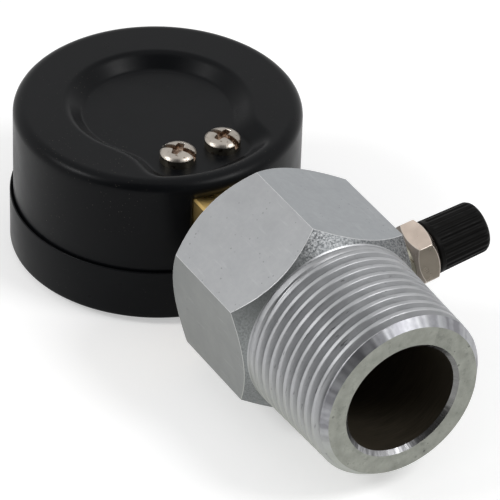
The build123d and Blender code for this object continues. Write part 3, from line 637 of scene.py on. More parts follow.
STEEL = even(
    "spring_steel", (0.42, 0.42, 0.43), (0.56, 0.56, 0.57), cloud=(600, 3), rough=(0.28, 0.42),
    grain=(1500, 2, 1e-5, 0.5), metallic=1.0,
)

# ---------------- adapter

# A thread's form, in shares of its pitch or of a full vee's depth
VEE_DEPTH = 0.86
VEE_EDGE = 0.05
VEE_ROOT = 0.08
VEE_BED = 1.04
VEE_FLANK = (0.08, 0.5, 0.9)

THREAD_FADE = 0.4 * PITCH
GROOVE_CUT = 0.25
CHATTER_DEPTH = 0.045
CHATTER_REACH = 1.6
CHAMFER_SHARE = 0.97
NECK_GROOVE = ((0, 0), (0.25, 0.18), (0.5, 0.02), (0.7, 0))  # distances and depths
VALVE_PORT_START = sqrt(BORE_RADIUS**2 - VALVE_THREAD_RADIUS**2)
VALVE_PORT_END = 24.0
VALVE_PORT_RADIUS = VALVE_THREAD_RADIUS + 0.05
VALVE_PORT_STEPS = 96
HEX_STEPS = 40
ADAPTER_SHARP = 18
ADAPTER_EDGE = 0.06
ADAPTER_EDGE_OVER = 15

SLOT_FLAT, SLOT_TURNED, SLOT_ROUGH, SLOT_END, SLOT_BORE = range(5)
SLOT_CREST, SLOT_GROOVE_FILL_LIGHT, SLOT_CHAMFER, SLOT_HIGHLIGHT_EDGE, SLOT_RIM = range(5, 10)
ADAPTER_MATERIALS = [
    PLATED_FLAT, PLATED_TURNED, PLATED_ROUGH, PLATED_END, BORE_WALL,
    PLATED_CREST, PLATED_GROOVE_FILL_LIGHT, PLATED_CHAMFER, PLATED_EDGE_HIGHLIGHT, PLATED_RIM,
]


def thread_form(pitch, crest):
    """One pitch of a vee thread, as distances along it and depths of cut."""
    groove = pitch - crest
    depth = groove / 2 * sqrt(3) * VEE_DEPTH
    edge, root = VEE_EDGE * pitch, VEE_ROOT * pitch
    bed, flank = crest + groove / 2, groove / 2 - root
    return [
        (0, edge / 2), (edge, 0), (crest / 2, 0), (crest - edge, 0), (crest, edge / 2),
        *((crest + share * flank, share * depth) for share in VEE_FLANK),
        (bed - root, depth), (bed, depth * VEE_BED), (bed + root, depth),
        *((pitch - share * flank, share * depth) for share in reversed(VEE_FLANK)),
    ]


def thread_section(
    surface, turned_frame, angles, start, end, pitch, crest, radius_at, slot_at, fade
):
    """A right-hand vee thread between two distances along an axis, as one helical sheet.

    radius_at gives the radius at each distance, depth of cut and angle, and slot_at the material.
    The thread grows to its full depth over the fade's length from start."""
    form = thread_form(pitch, crest)
    # A pitch more at each end, and one for the climb of the helix
    turns = int((end - start) / pitch) + 3
    rows = [(start - pitch + k * pitch + at, cut) for k in range(turns) for at, cut in form]
    along = np.array([[at] for at, _ in rows]) + pitch * angles / (2 * pi)
    cut = np.array([[cut] for _, cut in rows]) * np.ones_like(angles)
    along = np.clip(along, start, end)
    cut = cut * smoothstep(start, start + fade, along)
    radius = radius_at(along, cut, angles)
    slots = slot_at((along + np.roll(along, -1, axis=0)) / 2, (cut + np.roll(cut, -1, axis=0)) / 2)
    surface.grid(placed(turned_frame, along, radius, angles + 0 * along), slots, shift=len(form))


def chatter(angles):
    """Shallow uneven facets left by the tool on the end chamfer, from -1 to 1."""
    return (
        0.5 * np.sin(17 * angles + 1.1 * np.sin(3 * angles))
        + 0.3 * np.sin(31 * angles + 0.8 * np.sin(5 * angles))
        + 0.2 * np.sin(9 * angles + 2.1)
    )


def adapter_crest(along, cut, angles):
    """The taper's radius less the thread's cut, and never outside the end chamfer's cone."""
    taper = PIPE_RADIUS - PIPE_TAPER * along - cut
    chamfer_top = PIPE_RADIUS + PIPE_TAPER * END_CHAMFER
    share = np.clip(-along / END_CHAMFER, 0, None)
    wave = CHATTER_DEPTH * chatter(angles) * np.clip(share * (CHATTER_REACH - share), 0, 1)
    cone = END_FACE_RADIUS + (chamfer_top - END_FACE_RADIUS) * share + wave
    return np.where(share < CHATTER_REACH, np.minimum(taper, cone), taper)


def adapter_slot(along, cut):
    """The chamfer, the dull groove, painted a little lighter as fill light in its shade, or the
    rubbed crest.
    """
    threaded = np.where(cut > GROOVE_CUT, SLOT_GROOVE_FILL_LIGHT, SLOT_CREST)
    return np.where(along > -CHAMFER_SHARE * END_CHAMFER, SLOT_CHAMFER, threaded)


def build_adapter():
    """The adapter, from its rear face over the hexagon and the thread and back through its bore."""
    surface = Surface()
    angles, hex_radii = hex_angles(HEX_FLATS, HEX_TURN, HEX_STEPS)
    front_arc = hex_front_x - (hex_radii - neck_radius)
    rear_arc = hex_rear_x + (hex_radii - REAR_FACE_RADIUS)
    stem_rim = STEM_HOLE_RADIUS + STEM_HOLE_CHAMFER
    stem_end = hex_rear_x + STEM_HOLE_DEPTH
    thread_start = hex_front_x + THREAD_RUN_OUT
    bore_rim = BORE_RADIUS + BORE_RIM

    def turn(profile, slot):
        surface.turn(ADAPTER_FRAME, profile, angles, slot)

    turn([(hex_rear_x, stem_rim), (hex_rear_x, REAR_FACE_RADIUS)], SLOT_TURNED)
    turn([(hex_rear_x, REAR_FACE_RADIUS), (rear_arc, hex_radii)], SLOT_ROUGH)
    flat_length = front_arc - rear_arc
    turn([(rear_arc + flat_length * share, hex_radii) for share in (0, 0.5, 1)], SLOT_FLAT)
    turn([(front_arc, hex_radii), (hex_front_x, neck_radius)], SLOT_ROUGH)
    neck = [(hex_front_x + along, neck_radius - depth) for along, depth in NECK_GROOVE]
    turn([*neck, (thread_start, PIPE_RADIUS - PIPE_TAPER * thread_start)], SLOT_CREST)
    thread_section(
        surface, ADAPTER_FRAME, angles, thread_start, 0, PITCH, CREST, adapter_crest, adapter_slot,
        THREAD_FADE,
    )
    turn([(0, END_FACE_RADIUS), (0, (END_FACE_RADIUS + BORE_RADIUS) / 2), (0, bore_rim)], SLOT_END)
    turn([(0, bore_rim), (-BORE_RIM, BORE_RADIUS)], SLOT_RIM)
    inside = [
        (-BORE_RIM, BORE_RADIUS),
        (-BORE_DEPTH, BORE_RADIUS),
        (-BORE_DEPTH - BORE_CONE, GAUGE_PORT_RADIUS),
        (stem_end, GAUGE_PORT_RADIUS),
        (stem_end, STEM_HOLE_RADIUS),
        (hex_rear_x + STEM_HOLE_CHAMFER, STEM_HOLE_RADIUS),
        (hex_rear_x, stem_rim),
    ]
    turn(inside, SLOT_BORE)
    adapter = surface.piece(
        "plated_adapter", ADAPTER_MATERIALS, "assembly", "plated_steel", ADAPTER_SHARP
    )
    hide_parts("hex_body")
    cut_valve_port(adapter)
    machined = (SLOT_FLAT, SLOT_ROUGH, SLOT_TURNED)
    round_edges(adapter, ADAPTER_EDGE, ADAPTER_EDGE_OVER, SLOT_HIGHLIGHT_EDGE, machined)


def cut_valve_port(adapter):
    """Opens the adapter's wall, from its bore to its flats, where the tank valve's stem passes."""
    surface = Surface()
    port = [
        (VALVE_PORT_START, 0),
        (VALVE_PORT_START, VALVE_PORT_RADIUS),
        (VALVE_PORT_END, VALVE_PORT_RADIUS),
        (VALVE_PORT_END, 0),
    ]
    surface.turn(VALVE_FRAME, port, round_angles(VALVE_PORT_STEPS), SLOT_BORE)
    cutter = add_object("port_cutter", surface.mesh("port_cutter", ADAPTER_MATERIALS))
    cut = adapter.modifiers.new("port", "BOOLEAN")
    cut.operation = "DIFFERENCE"
    cut.solver = "EXACT"
    cut.material_mode = "INDEX"
    cut.object = cutter
    whole = adapter.evaluated_get(bpy.context.evaluated_depsgraph_get())
    opened = bpy.data.meshes.new_from_object(whole)
    opened.set_sharp_from_angle(angle=radians(ADAPTER_SHARP))
    adapter.modifiers.remove(cut)
    adapter.data = opened
    bpy.data.objects.remove(cutter)


def round_edges(piece, width, degrees_over, slot, machined_slots):
    """Rounds the edges that turn by more than an angle between faces of the machined slots, with
    their own paler material, a painted highlight along them."""
    work = bmesh.new()
    work.from_mesh(piece.data)
    chosen = []
    for edge in work.edges:
        if len(edge.link_faces) != 2 or edge.calc_face_angle() < radians(degrees_over):
            continue
        if all(face.material_index in machined_slots for face in edge.link_faces):
            chosen.append(edge)
    bmesh.ops.bevel(
        work, geom=chosen, offset=width * MM, segments=2, profile=0.5, affect="EDGES",
        clamp_overlap=True, material=slot,
    )
    for face in work.faces:
        face.smooth = True
    work.to_mesh(piece.data)
    work.free()


build_adapter()

# ---------------- case screws

SCREW_SHIFT = (-0.4, 0.55)
SCREW_LIFT = 0.3
SCREW_DOME = 1.05
SCREW_ROLL = 0.4
SCREW_TURNS = (38, 22)
SCREW_RINGS = 66
SCREW_STEPS = 192
SCREW_MIDDLE = 0.05

# The driver's slot goes right across, and the cross is deeper and tapers from its middle
DRIVE_SLOT_WIDTH = 1.05
DRIVE_SLOT_DEPTH = 0.85
DRIVE_SLOT_SOFT = 0.06
DRIVE_CROSS_WIDTH = 1.3
DRIVE_CROSS_TAPER = (1.25, 0.75)  # shares of its width, from the middle to the ends
DRIVE_CROSS_DEPTH = 1.0
DRIVE_CROSS_REACH = 1.95
DRIVE_CROSS_RAMP = 0.5
DRIVE_CROSS_SOFT = 0.08
DRIVE_HUB_DEPTH = 0.25
DRIVE_HUB_RADII = (0.5, 1.5)
DIRT_AND_SHADE_DEPTH = 0.2
SCREW_SLOT_HEAD, SCREW_SLOT_DIRT_AND_SHADE, SCREW_SLOT_SIDE = range(3)


def drive_depth(along, across, radius):
    """How deep the driver's slot and cross are at points of a screw's head."""
    slot_edge = DRIVE_SLOT_WIDTH / 2
    slot = 1 - smoothstep(slot_edge - DRIVE_SLOT_SOFT, slot_edge + DRIVE_SLOT_SOFT, np.abs(across))
    widest, narrowest = DRIVE_CROSS_TAPER
    taper = widest - (widest - narrowest) * np.abs(across) / DRIVE_CROSS_REACH
    arm = DRIVE_CROSS_WIDTH / 2 * taper
    cross = 1 - smoothstep(arm - DRIVE_CROSS_SOFT, arm + DRIVE_CROSS_SOFT, np.abs(along))
    ramp_start = DRIVE_CROSS_REACH - DRIVE_CROSS_RAMP
    cross = cross * (1 - smoothstep(ramp_start, DRIVE_CROSS_REACH, np.abs(across)))
    hub = 1 - smoothstep(*DRIVE_HUB_RADII, radius)
    drive = np.maximum(DRIVE_SLOT_DEPTH * slot, DRIVE_CROSS_DEPTH * cross)
    return drive + DRIVE_HUB_DEPTH * hub


def build_screws():
    """Two domed heads with a slot right across and a cross recess, with brown dirt and painted
    shade in both.
    """
    surface = Surface()
    low, high = box_mm("case_screws")
    seat = case_high.z - RECESS_DEPTH
    radii = np.append(np.linspace(SCREW_RADIUS, SCREW_MIDDLE, SCREW_RINGS), 0)
    angles = round_angles(SCREW_STEPS)
    radius, angle = np.meshgrid(radii, angles, indexing="ij")
    share = radius / SCREW_RADIUS
    fall = (1 - SCREW_ROLL) * share**2 + SCREW_ROLL * share**8
    dome = high.z + SCREW_LIFT - SCREW_DOME * fall
    for side, turn in zip((-1, 1), SCREW_TURNS):
        centre = Vector((gauge_x + SCREW_SETBACK, side * SCREW_SPACING / 2, 0))
        screw_frame = (centre + Vector((*SCREW_SHIFT, 0)), Z, X, Y)
        turned = angle - radians(turn)
        depth = drive_depth(radius * np.cos(turned), radius * np.sin(turned), radius)
        top = dome - depth
        # Deep parts of the drive take the brown dirt and painted shade.
        slots = np.where(depth > DIRT_AND_SHADE_DEPTH, SCREW_SLOT_DIRT_AND_SHADE, SCREW_SLOT_HEAD)
        surface.grid(placed(screw_frame, top, radius, angle), slots)
        edge = [(seat, SCREW_RADIUS), (top[0], SCREW_RADIUS)]
        surface.turn(screw_frame, edge, angles, SCREW_SLOT_SIDE)
        shank = [(low.z, 0), (low.z, SCREW_SHANK), (seat, SCREW_SHANK), (seat, SCREW_RADIUS)]
        surface.turn(screw_frame, shank, angles, SCREW_SLOT_SIDE)
    materials = [SCREW_NICKEL, SCREW_DIRT_AND_SHADE, SCREW_SIDE]
    made = surface.piece("case_screw_heads", materials, "assembly", "nickel_plate", sharp=35)
    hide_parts("case_screws")


build_screws()

# ---------------- gauge case

# The recess in the back: a disc with a lobe towards the socket, and how its wall rises
RECESS_RADIUS = 14.1
LOBE_REACH = 20.9
LOBE_HALF_WIDTH = 10.0
LOBE_SOFTNESS = 2.2
LOBE_NECK_SOFTNESS = 2.6
RECESS_RUN = 3.7
RECESS_INNER_EDGE = 0.5
RECESS_FOOT = 0.12
RECESS_SHOULDER = 0.34

CASE_STEPS = 288
CASE_EDGE_STEPS = 8
CASE_SIDE_LEVELS = (-8, 0)
SOCKET_STEPS = 12
BACK_RING_STEP = 0.25
BACK_FLAT_RADIUS = 11
BACK_FLAT_RINGS = (10.5, 7, 3, 0)


def recess_depth(x, y):
    """How far the pressed back lies below its rim at a point from the gauge axis."""
    reach = np.hypot(x, y)
    disc = reach - RECESS_RADIUS
    lobe = soft_max(np.abs(y) - LOBE_HALF_WIDTH, reach - LOBE_REACH, LOBE_SOFTNESS)
    lobe = soft_max(lobe, -x, LOBE_SOFTNESS)
    outside = soft_min(disc, lobe, LOBE_NECK_SOFTNESS)
    share = np.clip((outside + RECESS_INNER_EDGE) / RECESS_RUN, 0, 1)
    steepest = 1 / (1 - RECESS_FOOT / 2 - RECESS_SHOULDER / 2)
    foot = steepest * share**2 / (2 * RECESS_FOOT)
    slope = steepest * (share - RECESS_FOOT / 2)
    shoulder = 1 - steepest * (1 - share) ** 2 / (2 * RECESS_SHOULDER)
    upper = np.where(share > 1 - RECESS_SHOULDER, shoulder, slope)
    return RECESS_DEPTH * (1 - np.where(share < RECESS_FOOT, foot, upper))


def build_case():
    """The pressed shell, one sheet with its wall added inwards, open where the socket enters."""
    half_slot = SOCKET_FLATS / 2 + SOCKET_CLEARANCE
    slot_angle = np.arcsin(half_slot / case_radius)
    slot_side = np.linspace(-slot_angle, slot_angle, SOCKET_STEPS + 1)
    rest = np.linspace(slot_angle, 2 * pi - slot_angle, CASE_STEPS + 1)[1:-1]
    angles = np.concatenate([slot_side, rest])
    top = case_high.z
    edge_z, edge_radius = top - CASE_EDGE, case_radius - CASE_EDGE
    side = [case_low.z, *CASE_SIDE_LEVELS, half_slot, edge_z]
    slot_rows = side.index(half_slot)
    surface = Surface()
    surface.turn(
        GAUGE_FRAME, [(z, case_radius) for z in side], angles,
        skip=lambda row, column: row < slot_rows and column < SOCKET_STEPS,
    )
    edge = arc_profile((edge_z, edge_radius), CASE_EDGE, 90, 0, CASE_EDGE_STEPS)
    surface.turn(GAUGE_FRAME, edge, angles)
    radii = np.append(np.arange(edge_radius, BACK_FLAT_RADIUS, -BACK_RING_STEP), BACK_FLAT_RINGS)
    radius, angle = np.meshgrid(radii, angles, indexing="ij")
    height = top - recess_depth(radius * np.cos(angle), radius * np.sin(angle))
    surface.grid(placed(GAUGE_FRAME, height, radius, angle))
    case = surface.piece("gauge_case", [ENAMEL], "assembly", "black_paint", sharp=50)
    wall = case.modifiers.new("wall", "SOLIDIFY")
    wall.thickness = CASE_WALL * MM
    wall.offset = -1
    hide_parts("case")


RING_STEPS = 256
RING_FIT = 0.02
RING_REAR_ROUND = 0.22
RING_FRONT_ROUND = 0.6
RING_FRONT_STRAIGHT = 1.1
RING_LIP_ROUND = 0.3


def build_ring():
    """The rolled bezel ring, with a turned-in lip over the window and a rounded rim."""
    front, rear = ring_low.z, ring_high.z
    inside = ring_radius - RING_WALL + RING_FIT
    lip = ring_radius - RING_LIP
    rear_centre = (rear - RING_REAR_ROUND, ring_radius - RING_REAR_ROUND)
    front_centre = (front + RING_FRONT_ROUND, ring_radius - RING_FRONT_ROUND)
    lip_centre = (front + RING_LIP_ROUND, lip + RING_LIP_ROUND)
    profile = [
        (rear_centre[0], inside),
        *arc_profile(rear_centre, RING_REAR_ROUND, 0, 90, steps=4),
        (front + RING_FRONT_STRAIGHT, ring_radius),
        *arc_profile(front_centre, RING_FRONT_ROUND, 90, 180, steps=6),
        (front, lip_centre[1]),
        *arc_profile(lip_centre, RING_LIP_ROUND, 180, 270, steps=4),
        (front + RING_WALL, lip),
        (front + RING_WALL, inside),
        (rear_centre[0], inside),
    ]
    surface = Surface()
    surface.turn(GAUGE_FRAME, profile, round_angles(RING_STEPS))
    ring = surface.piece("bezel_rim", [ENAMEL], "assembly", "black_paint", sharp=40)
    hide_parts("bezel_ring")


build_case()
build_ring()

# ---------------- tank valve and dust cap

VALVE_HEX_STEPS = 16
VALVE_HEX_CHAMFER = 0.9
VALVE_HEX_SLOPE = 38
VALVE_CREST = 0.25
VALVE_THREAD_FADE = 2 * VALVE_PITCH
VALVE_END_CHAMFER = 0.6
VALVE_TIP_CHAMFER = 0.5
VALVE_SEAT_RISE = 0.05
VALVE_EDGE = 0.07
VALVE_EDGE_OVER = 20
VALVE_SLOT_FLAT, VALVE_SLOT_NECK_SHADE, VALVE_SLOT_HIGHLIGHT_EDGE, VALVE_SLOT_STEM = range(4)


def valve_crest(along, cut, angles):
    """The stem's radius less its thread, with a chamfer at the tip."""
    chamfer = VALVE_STEM_RADIUS - VALVE_TIP_CHAMFER + (VALVE_TIP - along)
    return np.minimum(VALVE_STEM_RADIUS - cut, chamfer)


def valve_slot(along, cut):
    """The stem is one material all over."""
    return np.full(along.shape, VALVE_SLOT_STEM)


def build_valve():
    """The valve's body: a neck in the adapter, a hexagon, a threaded stem and the bore inside."""
    surface = Surface()
    angles, hex_radii = hex_angles(VALVE_HEX_FLATS, VALVE_HEX_TURN, VALVE_HEX_STEPS)
    flat_edge = VALVE_HEX_FLATS / 2 * VALVE_HEX_CHAMFER
    fall = (hex_radii - flat_edge) * np.tan(radians(VALVE_HEX_SLOPE))
    neck = [
        (VALVE_INNER_END, VALVE_BORE_RADIUS),
        (VALVE_INNER_END, VALVE_THREAD_RADIUS - VALVE_END_CHAMFER),
        (VALVE_INNER_END + VALVE_END_CHAMFER, VALVE_THREAD_RADIUS),
        (VALVE_HEX_BASE, VALVE_THREAD_RADIUS),
    ]
    hexagon = [
        (VALVE_HEX_BASE, VALVE_THREAD_RADIUS),
        (VALVE_HEX_BASE, flat_edge),
        (VALVE_HEX_BASE + fall, hex_radii),
        (VALVE_HEX_TOP - fall, hex_radii),
        (VALVE_HEX_TOP, flat_edge),
        (VALVE_HEX_TOP, VALVE_STEM_RADIUS),
    ]
    # The neck carries the painted shade.
    surface.turn(VALVE_FRAME, neck, angles, VALVE_SLOT_NECK_SHADE)
    surface.turn(VALVE_FRAME, hexagon, angles, VALVE_SLOT_FLAT)
    thread_section(
        surface, VALVE_FRAME, angles, VALVE_HEX_TOP, VALVE_TIP, VALVE_PITCH, VALVE_CREST,
        valve_crest, valve_slot, VALVE_THREAD_FADE,
    )
    seat = VALVE_TIP - CORE_PLUG_DEPTH
    inside = [
        (VALVE_TIP, VALVE_STEM_RADIUS - VALVE_TIP_CHAMFER),
        (VALVE_TIP, CORE_PLUG_RADIUS),
        (seat, CORE_PLUG_RADIUS),
        (seat - VALVE_SEAT_RISE, VALVE_BORE_RADIUS),
        (VALVE_INNER_END, VALVE_BORE_RADIUS),
    ]
    surface.turn(VALVE_FRAME, inside, angles, VALVE_SLOT_STEM)
    materials = [NICKEL, VALVE_NECK_SHADE, NICKEL_EDGE_HIGHLIGHT, NICKEL]
    valve = surface.piece("tank_valve_body", materials, "assembly", "nickel_plate", sharp=22)
    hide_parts("valve_body")
    round_edges(valve, VALVE_EDGE, VALVE_EDGE_OVER, VALVE_SLOT_HIGHLIGHT_EDGE, (VALVE_SLOT_FLAT,))


CAP_RIB_STEPS = 12
CAP_FLUTE_RUN = (0.15, 0.95)
CAP_LIP = 0.25
CAP_LIP_STEP = 0.02
CAP_RIB_ENDS = ((0, 0), (0.12, 0.7), (0.3, 1))  # distances and shares of the flutes' depth
CAP_RIB_START = 1.3
CAP_RIB_ROWS = 6
CAP_EDGE_STEPS = 7
CAP_FADE_STEPS = 3
CAP_END_RING = 2.0


def build_cap():
    """The ribbed cap: flutes between rounded ribs that run out over the rounded end."""
    angles = round_angles(CAP_RIBS * CAP_RIB_STEPS)
    flute = CAP_RIB_DEPTH * smoothstep(*CAP_FLUTE_RUN, 0.5 + 0.5 * np.cos(CAP_RIBS * angles))

    def skirt(along):
        share = (along - CAP_BASE) / (CAP_END - CAP_BASE)
        return CAP_SKIRT_RADIUS + (CAP_END_RADIUS - CAP_SKIRT_RADIUS) * share

    starts, straight_end = CAP_BASE + CAP_PLAIN_SKIRT, CAP_END - CAP_EDGE
    ribbed = [(starts + along, depth) for along, depth in CAP_RIB_ENDS]
    rows = np.linspace(starts + CAP_RIB_START, straight_end, CAP_RIB_ROWS)
    ribbed += [(along, 1) for along in rows]
    centre = (straight_end, skirt(straight_end) - CAP_EDGE)
    arc = arc_profile(centre, CAP_EDGE, 90, 0, CAP_EDGE_STEPS)[1:]
    rounded = []
    for step, (along, radius) in enumerate(arc, 1):
        rounded.append((along, radius - flute * max(0, 1 - step / CAP_FADE_STEPS)))
    profile = [
        (CAP_BASE, CAP_INSIDE_RADIUS),
        (CAP_BASE, CAP_SKIRT_RADIUS - CAP_LIP),
        (CAP_BASE + CAP_LIP, CAP_SKIRT_RADIUS - CAP_LIP_STEP),
        *((along, skirt(along) - flute * depth) for along, depth in ribbed),
        *rounded,
        (CAP_END, CAP_END_RING),
        (CAP_END, 0),
    ]
    roof = CAP_END - CAP_ROOF
    hollow = [(CAP_BASE, CAP_INSIDE_RADIUS), (roof, CAP_INSIDE_RADIUS), (roof, 0)]
    surface = Surface()
    surface.turn(VALVE_FRAME, profile, angles)
    surface.turn(VALVE_FRAME, hollow, angles)
    cap = surface.piece("ribbed_cap", [CAP_PLASTIC], "cap", "cap_plastic", sharp=40)
    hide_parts("dust_cap")


build_valve()
build_cap()

# ---------------- dial

DIAL_ZERO = 45
DIAL_SWEEP = 270
DIAL_MARKS = 50
DIAL_STEP = 10
TICK_OUTER = 22.2
LONG_TICK, MIDDLE_TICK, SHORT_TICK = (18.2, 0.7), (19.4, 0.4), (20.6, 0.22)  # start, width
SCALE_LINE = (22.1, 22.4)
SCALE_STEPS = 180
SCALE_WELD = 1e-7  # metres
NUMBER_RADIUS = 15.2
NUMBER_SIZE = 4.4
INK_LIFT = 0.02
INK_THICKNESS = 0.03


def dial_point(radius, turn):
    """A point just below the dial in metres. Turn is in degrees about +Z from +X."""
    angle = radians(turn)
    across = Vector((gauge_x + radius * cos(angle), radius * sin(angle), dial_z - INK_LIFT))
    return across * MM


def dial_turn(share):
    """The turn in degrees at a share of the scale."""
    return DIAL_ZERO + DIAL_SWEEP * share


def build_scale():
    """Ticks and a scale line printed on the dial, as one thin raised mesh."""
    work = bmesh.new()
    for mark in range(DIAL_MARKS + 1):
        inner, width = SHORT_TICK
        if mark % DIAL_STEP == 0:
            inner, width = LONG_TICK
        elif mark % (DIAL_STEP // 2) == 0:
            inner, width = MIDDLE_TICK
        turn = dial_turn(mark / DIAL_MARKS)
        aside = Vector((-sin(radians(turn)), cos(radians(turn)), 0)) * (width / 2 * MM)
        ends = ((inner, -1), (TICK_OUTER, -1), (TICK_OUTER, 1), (inner, 1))
        work.faces.new([work.verts.new(dial_point(r, turn) + aside * side) for r, side in ends])
    near, far = SCALE_LINE
    for step in range(SCALE_STEPS):
        start, end = dial_turn(step / SCALE_STEPS), dial_turn((step + 1) / SCALE_STEPS)
        corners = ((near, start), (far, start), (far, end), (near, end))
        work.faces.new([work.verts.new(dial_point(*corner)) for corner in corners])
    bmesh.ops.remove_doubles(work, verts=work.verts, dist=SCALE_WELD)
    mesh = bpy.data.meshes.new("dial_scale")
    work.to_mesh(mesh)
    work.free()
    mesh.materials.append(BLACK_INK)
    scale = add_object("dial_scale", mesh)
    thick = scale.modifiers.new("ink", "SOLIDIFY")
    thick.thickness = INK_THICKNESS * MM
    thick.offset = 0
    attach(scale, "assembly")


def build_numbers():
    """The plain numbers beside the long ticks, read from below, where the dial faces."""
    top = radians(dial_turn(0.5))
    up, look = Vector((cos(top), sin(top), 0)), -Z
    right = up.cross(look)
    for index in range(DIAL_MARKS // DIAL_STEP + 1):
        text = bpy.data.curves.new(f"dial_number_{index}", "FONT")
        text.body = str(index * DIAL_STEP)
        text.size = NUMBER_SIZE * MM
        text.align_x = text.align_y = "CENTER"
        text.extrude = INK_THICKNESS / 2 * MM
        text.materials.append(BLACK_INK)
        number = add_object(f"dial_number_{index}", text)
        turn = dial_turn(index * DIAL_STEP / DIAL_MARKS)
        number.matrix_world = axes_matrix(right, up, look, dial_point(NUMBER_RADIUS, turn))
        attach(number, "assembly")


build_scale()
build_numbers()

# ---------------- finishes of the CAD pieces

FINISHES = {
    BRASS: (
        "socket", "restrictor_screw", "tube_tip", "lower_plate", "upper_plate", "pillars", "pinion",
        "sector_gear", "link", "core_barrel", "core_pin",
    ),
    BRONZE: ("bourdon_tube", "hairspring"),
    NICKEL: ("plate_screws", "movement_screws", "dial_screws"),
    STEEL: ("core_spring",),
    BLACK_RUBBER: ("window_gasket", "core_seal", "cap_seal"),
    WHITE_SEAL: ("core_gasket",),
    DIAL_WHITE: ("dial_plate",),
    BLACK_INK: ("pointer",),
    CLEAR: ("window",),
}
for finish, nodes in FINISHES.items():
    for node in nodes:
        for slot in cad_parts[node].material_slots:
            slot.material = finish

# ---------------- stage, light and camera

STAGE_ROUGHNESS = 0.9
STAGE_SPECULAR = 0.1
FLOOR_REACH = 3.0
FLOOR_GAP = 0.0002
FLOOR_COLOUR = (0.76, 0.76, 0.76)
FLOOR_GLOW = 0.42
FLAG_COLOUR = (0.10, 0.10, 0.10)
FLAG_STEPS = 16
CURTAIN_RADIUS = 1.0
CARD_RADIUS = 0.13
ROOM_LOW = (0.42, 0.42, 0.42)
ROOM_HIGH = (0.50, 0.50, 0.50)
WHITE = (1, 1, 1)
LAMP_AIM = (-0.05, 0, 0)

CAMERA_TARGET = Vector((-0.0490, -0.0014, 0.0006))
CAMERA_DISTANCE = 0.745
CAMERA_AZIMUTH = 58.43
CAMERA_ELEVATION = 36.30
CAMERA_ROLL = 1.91
CAMERA_LENS = 301.9
CAMERA_SENSOR = 36
CAMERA_NEAR = 0.01


def stage_piece(name, points, faces, colour):
    """A plain matt piece of the studio, which is not part of the object."""
    mesh = bpy.data.meshes.new(name)
    mesh.from_pydata(points, [], faces)
    made = add_object(name, mesh)
    matt = Finish(name, specular=STAGE_SPECULAR)
    matt.colour(colour)
    matt.rough(STAGE_ROUGHNESS)
    mesh.materials.append(matt.material)
    return made, matt


def build_floor():
    """A pale floor under the part, which is seen nearly white, with the part's shadow."""
    level = cad_box[0][2] - FLOOR_GAP
    turns = ((-1, -1), (1, -1), (1, 1), (-1, 1))
    corners = [(x * FLOOR_REACH, y * FLOOR_REACH, level) for x, y in turns]
    _, matt = stage_piece("floor", corners, [(0, 1, 2, 3)], FLOOR_COLOUR)
    matt.feed(matt.shader["Emission Color"], WHITE)
    glow = matt.math("MULTIPLY", matt.seen_rays(), FLOOR_GLOW)
    matt.feed(matt.shader["Emission Strength"], glow)


def build_flag(name, radius, turns, rises):
    """A dark sheet about the part, from one turn and rise to another in degrees, like the black
    flags of a studio. Only gloss shows it: the camera doesn't see it and it casts no shadow."""
    turn = np.radians(np.linspace(*turns, FLAG_STEPS + 1))[:, None]
    rise = np.radians(np.linspace(*rises, FLAG_STEPS + 1))[None, :]
    ball = np.stack(
        [np.cos(rise) * np.cos(turn), np.cos(rise) * np.sin(turn), np.sin(rise) + 0 * turn], axis=-1
    )
    across = FLAG_STEPS + 1
    faces = []
    for row in range(FLAG_STEPS):
        for first in range(row * across, row * across + FLAG_STEPS):
            faces.append((first, first + 1, first + across + 1, first + across))
    flag, _ = stage_piece(name, (ball * radius).reshape(-1, 3).tolist(), faces, FLAG_COLOUR)
    flag.visible_camera = flag.visible_shadow = flag.visible_diffuse = False


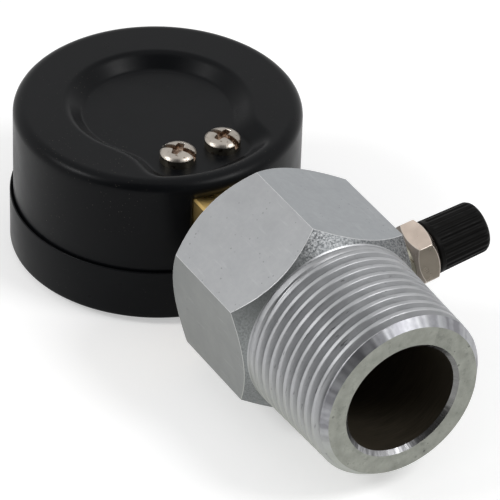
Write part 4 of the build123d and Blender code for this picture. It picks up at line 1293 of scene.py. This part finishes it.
def build_world():
    """Soft even light, a little brighter overhead, in front of a white background."""
    world = bpy.data.worlds.new("room")
    bpy.context.scene.world = world
    world.use_nodes = True
    tree = Nodes(world.node_tree)
    place = tree.add("TexCoord").outputs["Generated"]
    height = tree.add("SeparateXYZ", {"Vector": place}).outputs["Z"]
    ramp = tree.add("ValToRGB", {"Fac": height})
    for element, tone in zip(ramp.color_ramp.elements, (ROOM_LOW, ROOM_HIGH)):
        element.color = (*tone, 1)
    room = tree.mixed(tree.seen_rays(), ramp.outputs["Color"], WHITE)
    tree.feed(tree.nodes["Background"].inputs["Color"], room)


def build_lamp(name, place, size, energy):
    """A round soft lamp at a place in metres, aimed at the middle of the part."""
    lamp = bpy.data.lights.new(name, "AREA")
    lamp.shape = "DISK"
    lamp.size = size
    lamp.energy = energy
    made = add_object(name, lamp)
    made.location = place
    made.rotation_euler = (Vector(LAMP_AIM) - Vector(place)).to_track_quat("-Z", "Y").to_euler()


def build_camera():
    """The camera, facing the adapter's open end with the gauge's back behind it."""
    azimuth, elevation, roll = map(radians, (CAMERA_AZIMUTH, CAMERA_ELEVATION, CAMERA_ROLL))
    back = Vector((sin(azimuth) * cos(elevation), -cos(azimuth) * cos(elevation), sin(elevation)))
    level_right = Vector((cos(azimuth), sin(azimuth), 0))
    right = level_right * cos(roll) + back.cross(level_right) * sin(roll)
    lens = bpy.data.cameras.new("camera")
    lens.lens = CAMERA_LENS
    lens.sensor_width = CAMERA_SENSOR
    lens.clip_start = CAMERA_NEAR
    camera = add_object("camera", lens)
    eye = CAMERA_TARGET + back * CAMERA_DISTANCE
    camera.matrix_world = axes_matrix(right, back.cross(right), back, eye)
    bpy.context.scene.camera = camera


build_floor()
build_flag("curtain", CURTAIN_RADIUS, turns=(-85, 18), rises=(-1, 76))
build_flag("card", CARD_RADIUS, turns=(5, 60), rises=(-13, 14))
build_world()
build_lamp("right_softbox", (0.36, 0.32, 0.60), size=0.30, energy=2.4)
build_lamp("left_softbox", (-0.23, -0.58, 0.52), size=0.26, energy=1.9)
build_camera()
bpy.context.scene.view_settings.view_transform = "Standard"
